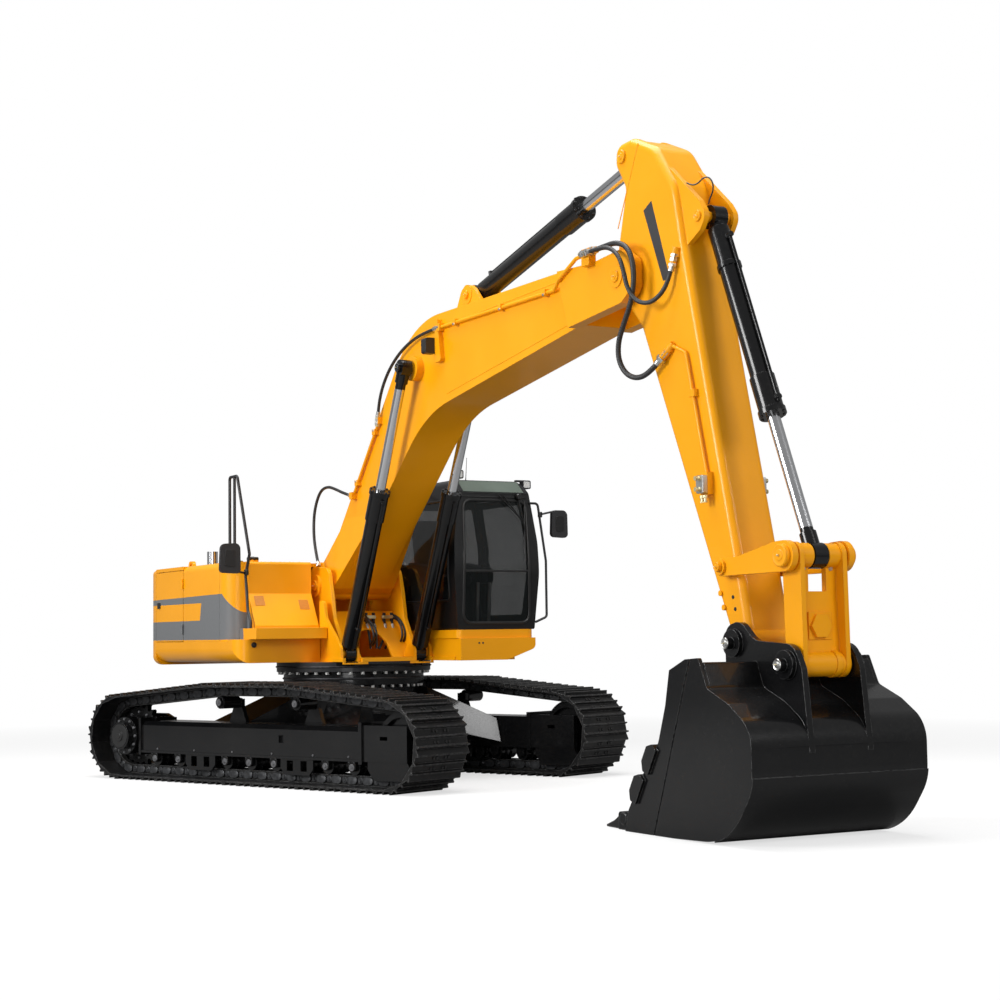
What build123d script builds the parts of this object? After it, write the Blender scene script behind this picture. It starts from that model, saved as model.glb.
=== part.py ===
"""Crawler excavator of the 36 tonne class, parked with its bucket on the ground.

Millimetres, +Z up. +X is the way the cab and the boom face, +Y is the cab's side.
The origin is on the ground, under the slewing axis. The undercarriage is built
square in its own frame and then turned by SLEW, because the upper structure is
slewed on it. Side profiles are tables whose columns are (x, z, corner radius).
"""

import math
import os

from build123d import *

# Undercarriage, in its own frame
SLEW = 20.7
GAUGE = 2607.0
SHOE_WIDTH = 740.0
SHOES = 48
AXLE_X = 2020.0
PIN_Z = 95.0
CHAIN_RADIUS = 367.0
AXLE_Z = PIN_Z + CHAIN_RADIUS
CARRIER_X = 577.0
CARRIER_R = 68.0
CARRIER_Z = 838.0
LINK_HALF = 50.0
ROLLER_X = (-1590, -1205, -825, -455, -85, 290, 665, 1040, 1410)
ROLLER_R = 80.0
ROLLER_Z = PIN_Z + LINK_HALF + ROLLER_R
FRAME_LOW = 310.0
FRAME_TOP = 625.0
FRAME_HALF = 200.0
RING_R = 765.0
RING_TOP = 1135.0

# Upper structure
DECK_LOW = 1250.0
FLOOR_TOP = 1290.0
DECK_TOP = 1480.0
SIDE_Y = 1490.0
HOOD_TOP = 2325.0
TAIL_X = -3200.0
TAIL_RADIUS = 2300.0
COUNTER_X = -2240.0
TOWER_Y = 400.0
TOWER_PLATE = 40.0
GUSSET_Y = 506.0
TANK_Y = 545.0
HOOD_HINGE = (-700.0, 2339.0)
FOOT_PIN = (20.0, 2070.0)

# Cab
CAB_BACK = -450.0
CAB_FRONT = 1400.0
CAB_RIGHT = 550.0
CAB_LEFT = 1500.0
CAB_LOW = 1570.0
CAB_TOP = 3165.0
CAB_WALL = 45.0
CAB_HINGE = (220.0, 1556.0)

# Working equipment: pins as (x, z)
NOSE_PIN = (5930.0, 4445.0)
TIP_PIN = (7400.0, 1420.0)
BOOM_CYL_FOOT = (760.0, 1335.0)
BOOM_CYL_HEAD = (2145.0, 4180.0)
BOOM_CYL_Y = 412.0
ARM_CYL_FOOT = (2990.0, 4800.0)
ARM_CYL_HEAD = (5860.0, 5480.0)
BUCKET_CYL_FOOT = (6875.0, 4775.0)
LINK_PIN = (8003.0, 2050.0)
TIPPING_PIN = (7245.0, 1997.0)
EAR_PIN = (8026.0, 1265.0)
BOOM_HALF = 250.0
BOOM_FOOT_HALF = 355.0
ARM_HALF = 205.0
BUCKET_HALF = 797.0


def outline(rows):
    """Closed flat outline; the columns are (across, up, corner radius)."""
    points = [(across, up) for across, up, _ in rows]
    radii = [radius for _, _, radius in rows]
    return make_face(FilletPolyline(*points, radius=radii, close=True))


def plate(rows, low_y, high_y):
    """Solid of an XZ outline between two Y planes."""
    face = Plane.XZ.offset(-high_y) * outline(rows)
    return extrude(face, amount=high_y - low_y, dir=(0, -1, 0))


def slab(rows, low_z, high_z):
    """Solid of an XY outline between two heights."""
    face = Plane.XY.offset(low_z) * outline(rows)
    return extrude(face, amount=high_z - low_z, dir=(0, 0, 1))


def beam(rows, low_x, high_x):
    """Solid of a YZ outline between two X planes."""
    face = Plane.YZ.offset(low_x) * outline(rows)
    return extrude(face, amount=high_x - low_x, dir=(1, 0, 0))


def block(low, high):
    """Box between two opposite corners."""
    size = [abs(b - a) for a, b in zip(low, high)]
    middle = [(a + b) / 2 for a, b in zip(low, high)]
    return Pos(*middle) * Box(*size)


def pin(at, radius, low_y, high_y):
    """Round bar along Y through the side-view point at."""
    bar = Rot(90, 0, 0) * Cylinder(radius, high_y - low_y)
    return Pos(at[0], (low_y + high_y) / 2, at[1]) * bar


def rod(start, end, radius):
    """Round bar between two points in space."""
    way = Vector(*end) - Vector(*start)
    return Plane(origin=start, z_dir=way) * Cylinder(
        radius, way.length, align=(Align.CENTER, Align.CENTER, Align.MIN)
    )


def tube(points, radius, bend):
    """Round bar along points in space, with every bend of one radius."""
    path = FilletPolyline(*points, radius=bend)
    return sweep(Plane(origin=path @ 0, z_dir=path % 0) * Circle(radius), path=path)


def hose(points, radius):
    """Hose along points in space, each arc as large as its two runs allow."""
    radii = []
    for a, b, c in zip(points, points[1:], points[2:]):
        before = Vector(*b) - Vector(*a)
        after = Vector(*c) - Vector(*b)
        half = math.radians(before.get_angle(after)) / 2
        radii.append(0.45 * min(before.length, after.length) / math.tan(half))
    print("hose bend radii", [round(r) for r in radii])
    path = FilletPolyline(*points, radius=radii)
    return sweep(Plane(origin=path @ 0, z_dir=path % 0) * Circle(radius), path=path)


def both(shape):
    """The shape and its mirror image across the centre plane."""
    return [shape, mirror(shape, about=Plane.XZ)]


def along(start, end, share):
    """Side-view point at a share of the way from start to end."""
    return tuple(a + share * (b - a) for a, b in zip(start, end))


def save(name, *shapes):
    """Write every solid of the shapes as one STEP file."""
    solids = [solid for shape in shapes for solid in shape.solids()]
    shape = solids[0] if len(solids) == 1 else Compound(solids)
    export_step(shape, f"parts/{name}.step")


def turned(*shapes):
    """Shapes of the undercarriage, turned under the upper structure."""
    return [Rot(0, 0, SLEW) * shape for shape in shapes]


# ---------------------------------------------------------------- tracks
def belt_path(wheels):
    """Arcs and straights of a belt round wheels given as (x, z, radius).

    The wheels come anticlockwise seen from the right. Returns rows of
    (x, z, radius, start angle, end angle) for the arcs.
    """
    touch = []
    count = len(wheels)
    for i in range(count):
        x1, z1, r1 = wheels[i]
        x2, z2, r2 = wheels[(i + 1) % count]
        gap = math.hypot(x2 - x1, z2 - z1)
        way = math.atan2(z2 - z1, x2 - x1)
        touch.append(way - math.pi / 2 - math.asin((r2 - r1) / gap) * 1.0)
    arcs = []
    for i in range(count):
        x, z, r = wheels[i]
        start = touch[i - 1]
        end = touch[i]
        while end < start:
            end += 2 * math.pi
        arcs.append((x, z, r, start, end))
    return arcs


def belt_points(arcs, count):
    """Evenly spaced (x, z, outward angle) stations on a belt."""
    pieces = []
    for i, (x, z, r, start, end) in enumerate(arcs):
        pieces.append(("arc", r * (end - start), (x, z, r, start, end)))
        nx, nz, nr, nstart, _ = arcs[(i + 1) % len(arcs)]
        a = (x + r * math.cos(end), z + r * math.sin(end))
        b = (nx + nr * math.cos(nstart), nz + nr * math.sin(nstart))
        pieces.append(("line", math.dist(a, b), (a, b, end)))
    total = sum(length for _, length, _ in pieces)
    stations = []
    for k in range(count):
        left = total * k / count
        for kind, length, data in pieces:
            if left <= length:
                break
            left -= length
        if kind == "arc":
            x, z, r, start, _ = data
            angle = start + left / r
            stations.append((x + r * math.cos(angle), z + r * math.sin(angle), angle))
        else:
            a, b, angle = data
            share = left / length
            x, z = along(a, b, share)
            stations.append((x, z, angle))
    return stations, total / count


def track_wheels(offset):
    """Wheels that the chain's line wraps, grown by an offset."""
    ends = CHAIN_RADIUS + offset
    carrier = CARRIER_R + LINK_HALF + offset
    return [
        (AXLE_X, AXLE_Z, ends),
        (CARRIER_X, CARRIER_Z, carrier),
        (-CARRIER_X, CARRIER_Z, carrier),
        (-AXLE_X, AXLE_Z, ends),
    ]


def belt_ring(outer, inner, low_y, high_y, share):
    """Ring between two offsets of the chain's line, as short straights."""
    loops = []
    for offset in (outer, inner):
        points = []
        for x, z, r, start, end in belt_path(track_wheels(offset)):
            steps = max(1, round((end - start) * share))
            for k in range(steps + 1):
                angle = start + (end - start) * k / steps
                points.append((x + r * math.cos(angle), z + r * math.sin(angle)))
        loops.append(make_face(Polyline(*points, close=True)))
    face = Plane.XZ.offset(-high_y) * (loops[0] - loops[1])
    return extrude(face, amount=high_y - low_y, dir=(0, -1, 0))


def shoe_loop(low_y, high_y):
    """Belt of triple-grouser shoes; the rows are (along, out) of one shoe."""
    section = [
        (-0.485, 57),
        (-0.465, 95),
        (-0.405, 95),
        (-0.370, 67),
        (-0.055, 67),
        (-0.028, 95),
        (0.028, 95),
        (0.055, 67),
        (0.370, 67),
        (0.405, 95),
        (0.465, 95),
    ]
    stations, pitch = belt_points(belt_path(track_wheels(0)), SHOES)
    outer = []
    inner = []
    for x, z, angle in stations:
        nx, nz = math.cos(angle), math.sin(angle)
        tx, tz = -nz, nx
        for share, out in section:
            s = share * pitch
            outer.append((x + s * tx + out * nx, z + s * tz + out * nz))
        inner.append((x + 50 * nx, z + 50 * nz))
    ring = make_face(Polyline(*outer, close=True)) - make_face(
        Polyline(*inner, close=True)
    )
    face = Plane.XZ.offset(-high_y) * ring
    return extrude(face, amount=high_y - low_y, dir=(0, -1, 0))


def track():
    """Left track: shoe belt fused with the two rails of its chain."""
    middle = GAUGE / 2
    shoes = shoe_loop(middle - SHOE_WIDTH / 2, middle + SHOE_WIDTH / 2)
    for side in (-1, 1):
        edge = middle + side * 85
        shoes += belt_ring(52, -LINK_HALF, edge - 30, edge + 30, 3.2)
    return shoes


def toothed_wheel(x, teeth, root, tip, low_y, high_y):
    """Sprocket: rows of teeth round a root circle."""
    points = []
    for k in range(teeth):
        for share, r in ((-0.30, root), (-0.12, tip), (0.12, tip), (0.30, root)):
            angle = 2 * math.pi * (k + share) / teeth
            points.append((x + r * math.cos(angle), AXLE_Z + r * math.sin(angle)))
    face = Plane.XZ.offset(-high_y) * make_face(Polyline(*points, close=True))
    return extrude(face, amount=high_y - low_y, dir=(0, -1, 0))


def sprocket():
    """Left sprocket with its motor, the final drive and its cover."""
    middle = GAUGE / 2
    at = (-AXLE_X, AXLE_Z)
    wheel = toothed_wheel(-AXLE_X, 21, 305, 348, middle - 30, middle + 30)
    wheel += pin(at, 212, middle - 110, middle + 90)
    wheel += pin(at, 205, middle + 90, middle + 235)
    wheel += pin(at, 150, middle + 235, middle + 305)
    return wheel + pin(at, 190, middle - 240, middle - 110)


def idler():
    """Left front idler: a centre flange between two treads, on its axle."""
    middle = GAUGE / 2
    at = (AXLE_X, AXLE_Z)
    tread = CHAIN_RADIUS - LINK_HALF - 6
    wheel = pin(at, tread + 32, middle - 45, middle + 45)
    wheel += pin(at, tread, middle - 105, middle + 105)
    wheel -= pin(at, tread - 50, middle + 60, middle + 110)
    wheel -= pin(at, tread - 50, middle - 110, middle - 60)
    wheel += pin(at, 110, middle - 105, middle + 105)
    return wheel + pin(at, 60, middle - 140, middle + 140)


def lower_rollers():
    """Nine double-flanged rollers of the left track."""
    middle = GAUGE / 2
    rollers = []
    for x in ROLLER_X:
        at = (x, ROLLER_Z)
        roller = pin(at, ROLLER_R - 1, middle - 130, middle + 130)
        roller += pin(at, ROLLER_R + 16, middle - 52, middle - 30)
        roller += pin(at, ROLLER_R + 16, middle + 30, middle + 52)
        rollers.append(roller + pin(at, 42, middle - 169, middle + 169))
    return rollers


def carrier_rollers():
    """Two rollers that hold the left track's upper run."""
    middle = GAUGE / 2
    rollers = []
    for x in (-CARRIER_X, CARRIER_X):
        at = (x, CARRIER_Z)
        roller = pin(at, CARRIER_R - 1, middle - 115, middle + 120)
        rollers.append(roller + pin(at, 45, middle + 120, middle + 145))
    return rollers


def track_frame():
    """Left track frame: box beam, idler yoke, guards and roller brackets."""
    middle = GAUGE / 2
    low_y = middle - FRAME_HALF
    high_y = middle + FRAME_HALF
    section = [
        (low_y, FRAME_LOW, 0),
        (high_y, FRAME_LOW, 0),
        (high_y, FRAME_TOP - 45, 0),
        (high_y - 45, FRAME_TOP, 0),
        (low_y, FRAME_TOP, 0),
    ]
    frame = beam(section, -1765, 1550)
    flange = [(-1790, 285, 0), (1575, 285, 0), (1575, 310, 0), (-1790, 310, 0)]
    frame += plate(flange, low_y - 15, high_y + 15)
    frame -= block((-1750, middle - 140, 280), (1540, middle + 140, 330))
    frame += block((-1800, low_y - 20, 262), (-1765, high_y + 20, 660))
    frame += block((1550, low_y - 20, 262), (1595, high_y + 20, 672))
    frame -= block((400, high_y - 30, 445), (478, high_y + 30, 520))
    yoke = [(1595, 290, 0), (2183, 290, 12), (2183, 645, 12), (1595, 645, 0)]
    for side in (-1, 1):
        edge = middle + side * 170
        cheek = plate(yoke, edge - 30, edge + 30)
        slot = block((1825, edge - 31, 502), (1925, edge + 31, 538))
        frame += cheek - slot
        guard = [(1650, 290, 0), (1650, 215, 0), (1735, 105, 20), (2160, 115, 30)]
        guard += [(2225, 215, 0), (2183, 290, 0)]
        frame += plate(guard, edge - 25, edge + 20)
    for centre in (-805, 665):
        for side in (-1, 1):
            edge = middle + side * 190
            guide = [(centre - 235, 300, 0), (centre - 235, 190, 30)]
            guide += [(centre - 175, 125, 20), (centre + 175, 125, 20)]
            guide += [(centre + 235, 190, 30), (centre + 235, 300, 0)]
            bracket = plate(guide, edge - 12, edge + 12)
            for shift in (-100, 100):
                bracket -= block(
                    (centre + shift - 45, edge - 13, 165),
                    (centre + shift + 45, edge + 13, 270),
                )
            frame += bracket
    for x in ROLLER_X:
        for side in (-1, 1):
            edge = middle + side * 155
            frame += block((x - 50, edge - 14, 205), (x + 50, edge + 14, 290))
            frame -= pin((x, ROLLER_Z), 42.5, edge - 15, edge + 15)
    for x in (-CARRIER_X, CARRIER_X):
        foot = [(x - 130, 620, 0), (x + 130, 620, 0), (x + 60, 800, 30)]
        foot += [(x - 60, 800, 30)]
        frame += plate(foot, middle - 175, middle - 125)
        frame += block((x - 60, middle - 175, 760), (x + 60, middle - 125, CARRIER_Z + 30))
        frame += pin((x, CARRIER_Z), 40, middle - 175, middle - 115)
    drive = [(-1800, 290, 0), (-1800, 650, 0), (-1900, 690, 40), (-2140, 690, 120)]
    drive += [(-2230, 600, 60), (-2230, 320, 60), (-2140, 250, 60), (-1950, 250, 40)]
    frame += plate(drive, middle - 290, middle - 240)
    frame += block((-1800, middle - 290, 290), (-1765, middle - 200, 650))
    return frame - block((-1810, middle - 45, 250), (-1650, middle + 45, 700))


def carbody():
    """Centre frame: round tower under the slewing ring on four legs."""
    body = Pos(0, 0, 760) * Cylinder(700, 480)
    body += block((-700, -560, 505), (700, 560, 700))
    outer = GAUGE / 2 - FRAME_HALF - 15
    for along_x in (-1, 1):
        near = [(150, 520), (800, 520), (640, 960), (150, 960)]
        far = [(560, 345), (1180, 345), (1120, 600), (560, 600)]
        faces = []
        for rows, y in ((near, 480.0), (far, outer)):
            points = [(along_x * x, z) for x, z in rows]
            faces.append(Plane.XZ.offset(-y) * make_face(Polyline(*points, close=True)))
        for shape in both(loft(faces)):
            body += shape
    body += Pos(0, 0, (1000 + RING_TOP) / 2) * Cylinder(RING_R, RING_TOP - 1000)
    body += Pos(0, 0, 700) * Cylinder(740, 40)
    return body - Pos(0, 0, 1000) * Cylinder(430, 400)


def undercarriage():
    """Write the pieces that stand on the ground."""
    frame = track_frame()
    tracks = track()
    save("carbody", *turned(carbody()))
    save("track_frame_left", *turned(frame))
    save("track_frame_right", *turned(mirror(frame, about=Plane.XZ)))
    save("track_left", *turned(tracks))
    save("track_right", *turned(mirror(tracks, about=Plane.XZ)))
    save("sprockets", *turned(*both(sprocket())))
    save("idlers", *turned(*both(idler())))
    rollers = [shape for roller in lower_rollers() for shape in both(roller)]
    save("lower_rollers", *turned(*rollers))
    carriers = [shape for roller in carrier_rollers() for shape in both(roller)]
    save("carrier_rollers", *turned(*carriers))


# ---------------------------------------------------------------- upper structure
def skirt_section(side):
    """Section of the rolled side skirt: (y, z, radius), on one side."""
    rows = [(SIDE_Y, DECK_TOP, 0), (SIDE_Y, DECK_LOW, 150), (SIDE_Y - 230, DECK_LOW, 0)]
    rows += [(SIDE_Y - 230, FLOOR_TOP, 0), (SIDE_Y - 60, DECK_TOP - 90, 60)]
    rows += [(SIDE_Y - 60, DECK_TOP, 0)]
    return [(side * y, z, r) for y, z, r in rows]


def tower():
    """Left boom tower: pin head at the top, gussets of the cylinder foot."""
    rows = [
        (-1500, FLOOR_TOP, 0),
        (640, FLOOR_TOP, 0),
        (640, 1430, 60),
        (455, 1700, 120),
        (390, 1990, 60),
        (310, 2250, 120),
        (-90, 2290, 130),
        (-230, 2120, 60),
        (-500, 1700, 200),
        (-1500, 1400, 0),
    ]
    shape = plate(rows, TOWER_Y, TOWER_Y + TOWER_PLATE)
    shape += pin(FOOT_PIN, 120, TOWER_Y, TOWER_Y + 62)
    inner = [(600, FLOOR_TOP, 0), (848, FLOOR_TOP, 0), (848, 1425, 88)]
    inner += [(672, 1425, 88), (600, 1340, 0)]
    return shape + plate(inner, BOOM_CYL_Y - 90, BOOM_CYL_Y - 65)


def gusset():
    """Left outer bracket of the boom cylinder's foot."""
    rows = [
        (300, FLOOR_TOP, 0),
        (845, FLOOR_TOP, 0),
        (835, 1400, 60),
        (740, 1490, 80),
        (470, 1705, 100),
        (400, 1900, 60),
        (300, 1900, 0),
    ]
    return plate(rows, GUSSET_Y, GUSSET_Y + 30)


def deck_floor():
    """Floor plate of the revolving frame."""
    plan = [
        (COUNTER_X, -SIDE_Y + 200, 0),
        (60, -SIDE_Y + 200, 0),
        (60, -TANK_Y, 0),
        (640, -TANK_Y, 0),
        (900, -GUSSET_Y - 30, 0),
        (900, GUSSET_Y + 20, 0),
        (1380, GUSSET_Y + 20, 0),
        (1380, SIDE_Y - 200, 100),
        (COUNTER_X, SIDE_Y - 200, 0),
    ]
    return slab(plan, DECK_LOW, FLOOR_TOP)


def deck():
    """Revolving frame: floor plate, skirts, boom towers and slewing ring race."""
    shape = deck_floor()
    shape += beam(skirt_section(-1), COUNTER_X, 60)
    shape += beam(skirt_section(1), COUNTER_X, CAB_BACK + 60)
    for piece in both(tower()):
        shape += piece
    shape += gusset() - block((0, 0, DECK_TOP), (1000, 1000, 3000))
    shape += mirror(gusset(), about=Plane.XZ)
    web = [(114, 1790, 0), (560, FLOOR_TOP, 0), (600, FLOOR_TOP, 0), (154, 1790, 0)]
    front = plate(web, -TOWER_Y, TOWER_Y)
    front -= Pos(400, 0, 1400) * Rot(0, 90, 0) * Cylinder(185, 500)
    front -= block((150, -185, FLOOR_TOP), (700, 185, 1400))
    shape += front
    rear = [(-1500, FLOOR_TOP, 0), (-1460, FLOOR_TOP, 0), (-1460, 1400, 0)]
    shape += plate(rear + [(-1500, 1400, 0)], -TOWER_Y, TOWER_Y)
    shape += Pos(0, 0, (RING_TOP + 8 + DECK_LOW) / 2) * Cylinder(
        840, DECK_LOW - RING_TOP - 8
    )
    low, high = BOOM_CYL_Y - 65, GUSSET_Y
    for pocket in both(block((641, low, 1200), (1000, high, 1700))):
        shape -= pocket
    for relief in both(block((850, low - 35, 1200), (1000, high, 1300))):
        shape -= relief
    shape += block((875, -GUSSET_Y - 20, 1224), (897, GUSSET_Y + 20, 1240))
    shape += block((862, -BOOM_CYL_Y + 65, 1224), (897, BOOM_CYL_Y - 65, DECK_LOW))
    for end in both(block((862, GUSSET_Y, 1224), (897, GUSSET_Y + 20, DECK_LOW))):
        shape += end
    for shaft in both(pin(BOOM_CYL_FOOT, 44, low - 25, high + 28)):
        shape += shaft
    shape += pin(FOOT_PIN, 60, -TOWER_Y - 75, TOWER_Y + 75)
    return shape


def cab_plinth():
    """Rounded apron under the cab with the band that carries its floor."""
    low = GUSSET_Y + 32
    apron = [
        (low, DECK_LOW, 0),
        (1100, DECK_LOW, 90),
        (1438, 1370, 60),
        (1438, DECK_TOP, 0),
        (low, DECK_TOP, 0),
    ]
    inside = [
        (low + 30, DECK_LOW - 40, 0),
        (1060, DECK_LOW + 40, 60),
        (1390, 1390, 40),
        (1390, DECK_TOP - 30, 0),
        (low + 30, DECK_TOP - 30, 0),
    ]
    shape = beam(apron, CAB_BACK + 60, CAB_FRONT + 100)
    shape -= beam(inside, CAB_BACK + 50, CAB_FRONT + 60)
    shape -= deck_floor()
    plan = [(CAB_BACK, CAB_RIGHT - 30, 20), (CAB_FRONT + 70, CAB_RIGHT - 30, 60)]
    plan += [(CAB_FRONT + 70, CAB_LEFT - 40, 120), (CAB_BACK, CAB_LEFT - 40, 20)]
    return shape + slab(plan, DECK_TOP, CAB_LOW)


def counterweight():
    """Cast counterweight with a rounded tail."""
    low, high = DECK_LOW - 30, HOOD_TOP - 5
    shape = block((TAIL_X - 100, -SIDE_Y, low), (COUNTER_X + 300, SIDE_Y, high))
    drum = Cylinder(TAIL_RADIUS, high - low)
    shape = shape & Pos(TAIL_X + TAIL_RADIUS, 0, (low + high) / 2) * drum
    corners = shape.edges().filter_by(Axis.Z).sort_by(Axis.X)[:2]
    shape = fillet(corners, 850)
    shape = fillet(shape.faces().sort_by(Axis.Z)[0].edges(), 100)
    shape = fillet(shape.faces().sort_by(Axis.Z)[-1].edges(), 45)
    shape = shape & block((-4000, -2000, 1000), (COUNTER_X - 4, 2000, 3000))
    top = HOOD_TOP - 5
    eye = [(-2880, top - 10, 0), (-2680, top - 10, 0), (-2710, 2450, 60), (-2850, 2450, 60)]
    for y in (-850, 850):
        lug = plate(eye, y - 20, y + 20)
        shape += lug - pin((-2780, 2395), 34, y - 30, y + 30)
    return shape


def tank():
    """Fuel and oil tank on the right, ahead of the pump room."""
    section = [
        (-SIDE_Y, DECK_TOP, 0),
        (-SIDE_Y, HOOD_TOP, 70),
        (-TANK_Y, HOOD_TOP, 20),
        (-TANK_Y, FLOOR_TOP, 0),
        (-SIDE_Y + 240, FLOOR_TOP, 0),
        (-SIDE_Y + 240, DECK_TOP, 0),
    ]
    return beam(section, -1300, -175) + Pos(-700, -900, HOOD_TOP + 25) * Cylinder(65, 60)


def toolbox():
    """Front right box: rounded corner, sloped lower lid and a step below."""
    section = [
        (-SIDE_Y, DECK_TOP, 0),
        (-SIDE_Y, HOOD_TOP, 70),
        (-TANK_Y, HOOD_TOP, 20),
        (-TANK_Y, DECK_TOP, 0),
    ]
    plan = [
        (-170, -SIDE_Y, 0),
        (70, -SIDE_Y, 205),
        (70, -TANK_Y, 0),
        (-170, -TANK_Y, 0),
    ]
    shape = beam(section, -170, 100) & slab(plan, DECK_TOP, HOOD_TOP)
    front = [
        (0, HOOD_TOP, 0),
        (100, HOOD_TOP, 30),
        (100, 1985, 0),
        (300, 1640, 20),
        (300, 1620, 0),
        (520, 1615, 0),
        (520, 1500, 0),
        (330, 1500, 0),
        (330, 1400, 0),
        (0, 1400, 0),
    ]
    lid = plate(front, -1270, -TANK_Y) - block((-10, -1500, 1300), (60, 0, DECK_TOP))
    ledge = [(60, 1500, 0), (520, 1500, 0), (520, 1615, 0), (60, 1615, 0)]
    lid += plate(ledge, -1350, -1270)
    low = [
        (-SIDE_Y, 1500, 0),
        (-SIDE_Y, DECK_LOW, 150),
        (-TANK_Y, DECK_LOW, 0),
        (-TANK_Y, 1500, 0),
    ]
    foot = [
        (60, -SIDE_Y, 0),
        (330, -SIDE_Y, 150),
        (330, -TANK_Y, 0),
        (60, -TANK_Y, 0),
    ]
    return shape + lid + (beam(low, 60, 330) & slab(foot, DECK_LOW, 1500))


def house_frame():
    """Fixed shell round the engine bay: roof strips, bulkheads and posts."""
    top = HOOD_TOP
    roof = top - 40
    rear = COUNTER_X + 4
    shape = block((rear, -SIDE_Y, roof), (-1310, -870, top))
    shape += block((rear, 870, roof), (CAB_BACK - 60, SIDE_Y, top))
    shape += block((rear, -1440, 2150), (rear + 40, 1440, roof - 1))
    for side in (-1, 1):
        shape += block((rear, side * 1200, DECK_TOP), (rear + 40, side * 1440, roof))
    shape += block((-700, -TANK_Y + 4, roof), (-200, TOWER_Y + TOWER_PLATE, top))
    shape += block((-700, 440, roof), (CAB_BACK - 60, 880, top))
    shape += block((-700, -TANK_Y + 4, 1720), (-680, 870, roof))
    shape += block((-700, -TOWER_Y + 4, FLOOR_TOP), (-680, TOWER_Y - 4, 1720))
    shape += block((-700, 444, FLOOR_TOP), (-680, 870, 1720))
    shape += block((-540, 444, 1720), (-510, SIDE_Y - 50, roof))
    shape += block((-540, 444, FLOOR_TOP), (-510, 1250, 1720))
    shape += block((-540, 1250, DECK_TOP), (-510, SIDE_Y - 50, 1720))
    return shape + block((-1346, 1400, DECK_TOP), (-1306, SIDE_Y - 50, roof))


def engine_hood():
    """Lid over the engine, hinged along its front edge."""
    low, high = HOOD_TOP - 35, HOOD_TOP + 18
    shape = block((-2225, -862, low), (-1318, 862, high))
    shape += block((-1320, -520, low), (-712, 862, high))
    shape = fillet(shape.edges().filter_by(Axis.Z), 30)
    shape = fillet(shape.faces().sort_by(Axis.Z)[-1].edges(), 15)
    shape -= block((-2190, -830, low - 1), (-1350, 830, HOOD_TOP - 10))
    shape -= block((-1400, -490, low - 1), (-740, 830, HOOD_TOP - 10))
    for k in range(7):
        x = -2110 + 95 * k
        shape -= block((x, -260, low), (x + 34, 380, high + 5))
    for y in (-300, 200, 700):
        shape += pin(HOOD_HINGE, 12, y - 60, y + 60)
        shape += block((-735, y - 60, high - 8), (-700, y + 60, high + 2))
    return shape


def side_door(x_low, x_high, side, hinge_x):
    """Hinged side door, a sheet with a folded rim and two round knuckles."""
    inner = side * (SIDE_Y - 42)
    door = block((x_low, inner, DECK_TOP + 6), (x_high, side * SIDE_Y, HOOD_TOP - 46))
    door -= block(
        (x_low + 45, side * (SIDE_Y - 8), DECK_TOP + 50),
        (x_high - 45, side * (SIDE_Y - 60), HOOD_TOP - 90),
    )
    inward = -1 if hinge_x > (x_low + x_high) / 2 else 1
    for z in (1620, 2130):
        door += Pos(hinge_x, side * (SIDE_Y + 14), z) * Cylinder(12, 110)
        tab_low = (hinge_x, side * SIDE_Y, z - 50)
        tab_high = (hinge_x + inward * 30, side * (SIDE_Y + 12), z + 50)
        door += block(tab_low, tab_high)
    return door


def louvred(door):
    """The cooler's door, with a row of air slots."""
    for k in range(9):
        z = 1620 + 65 * k
        door -= block((-2130, SIDE_Y - 30, z), (-1450, SIDE_Y + 5, z + 26))
    return door


def engine():
    """Engine, pump and radiator as one plain block across the bay."""
    shape = block((-2050, -620, 1460), (-1350, 560, 2120))
    shape += block((-1950, -1050, 1460), (-1500, -620, 1800))
    shape += block((-2050, 560, 1460), (-1350, 860, 2200))
    shape += block((-2000, -350, FLOOR_TOP), (-1900, 350, 1460))
    return shape + block((-1450, -350, FLOOR_TOP), (-1370, 350, 1460))


# ---------------------------------------------------------------- cab
def cab_section(inset):
    """Section across the cab: (y, z, radius), with bowed sides."""
    return [
        (CAB_RIGHT + 8 + inset, CAB_LOW + inset, 20),
        (CAB_RIGHT - 38 + inset, 2150, 900),
        (CAB_RIGHT - 30 + inset, 2500, 900),
        (CAB_RIGHT + 55 + inset, CAB_TOP - inset, 90),
        (CAB_LEFT - 75 - inset, CAB_TOP - inset, 90),
        (CAB_LEFT + 30 - inset, 2500, 900),
        (CAB_LEFT + 38 - inset, 2150, 900),
        (CAB_LEFT - 15 - inset, CAB_LOW + inset, 20),
    ]


def cab_side(inset):
    """Side view of the cab: (x, z, radius)."""
    return [
        (CAB_BACK + inset, 1500, 0),
        (CAB_FRONT - inset, 1500, 0),
        (CAB_FRONT + 30 - inset, 2250, 1500),
        (CAB_FRONT - 20 - inset, 3030 - inset / 2, 60),
        (CAB_FRONT - 340 - inset, 3300 - inset / 2, 0),
        (CAB_BACK + inset, 3300 - inset / 2, 0),
    ]


def cab_body(inset):
    """Solid of the cab's outer form, or of its room when inset."""
    across = beam(cab_section(inset), CAB_BACK - 200, CAB_FRONT + 200)
    return across & plate(cab_side(inset), 0, 2000)


def front_window():
    """Rounded opening of the windscreen: (y, z, radius)."""
    return [(620, 1640, 90), (1420, 1640, 90), (1405, 2945, 60), (640, 2945, 60)]


def side_window():
    """Right side window: (x, z, radius)."""
    return [(-330, 1880, 50), (1270, 1880, 60), (1270, 2950, 60), (-330, 2950, 60)]


def rear_side_window():
    """Left window behind the door: (x, z, radius)."""
    return [(-330, 1900, 60), (150, 1900, 60), (150, 2950, 60), (-330, 2950, 60)]


def rear_window():
    """Window in the back wall: (y, z, radius)."""
    return [(680, 2150, 60), (1380, 2150, 60), (1370, 2950, 60), (690, 2950, 60)]


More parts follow.
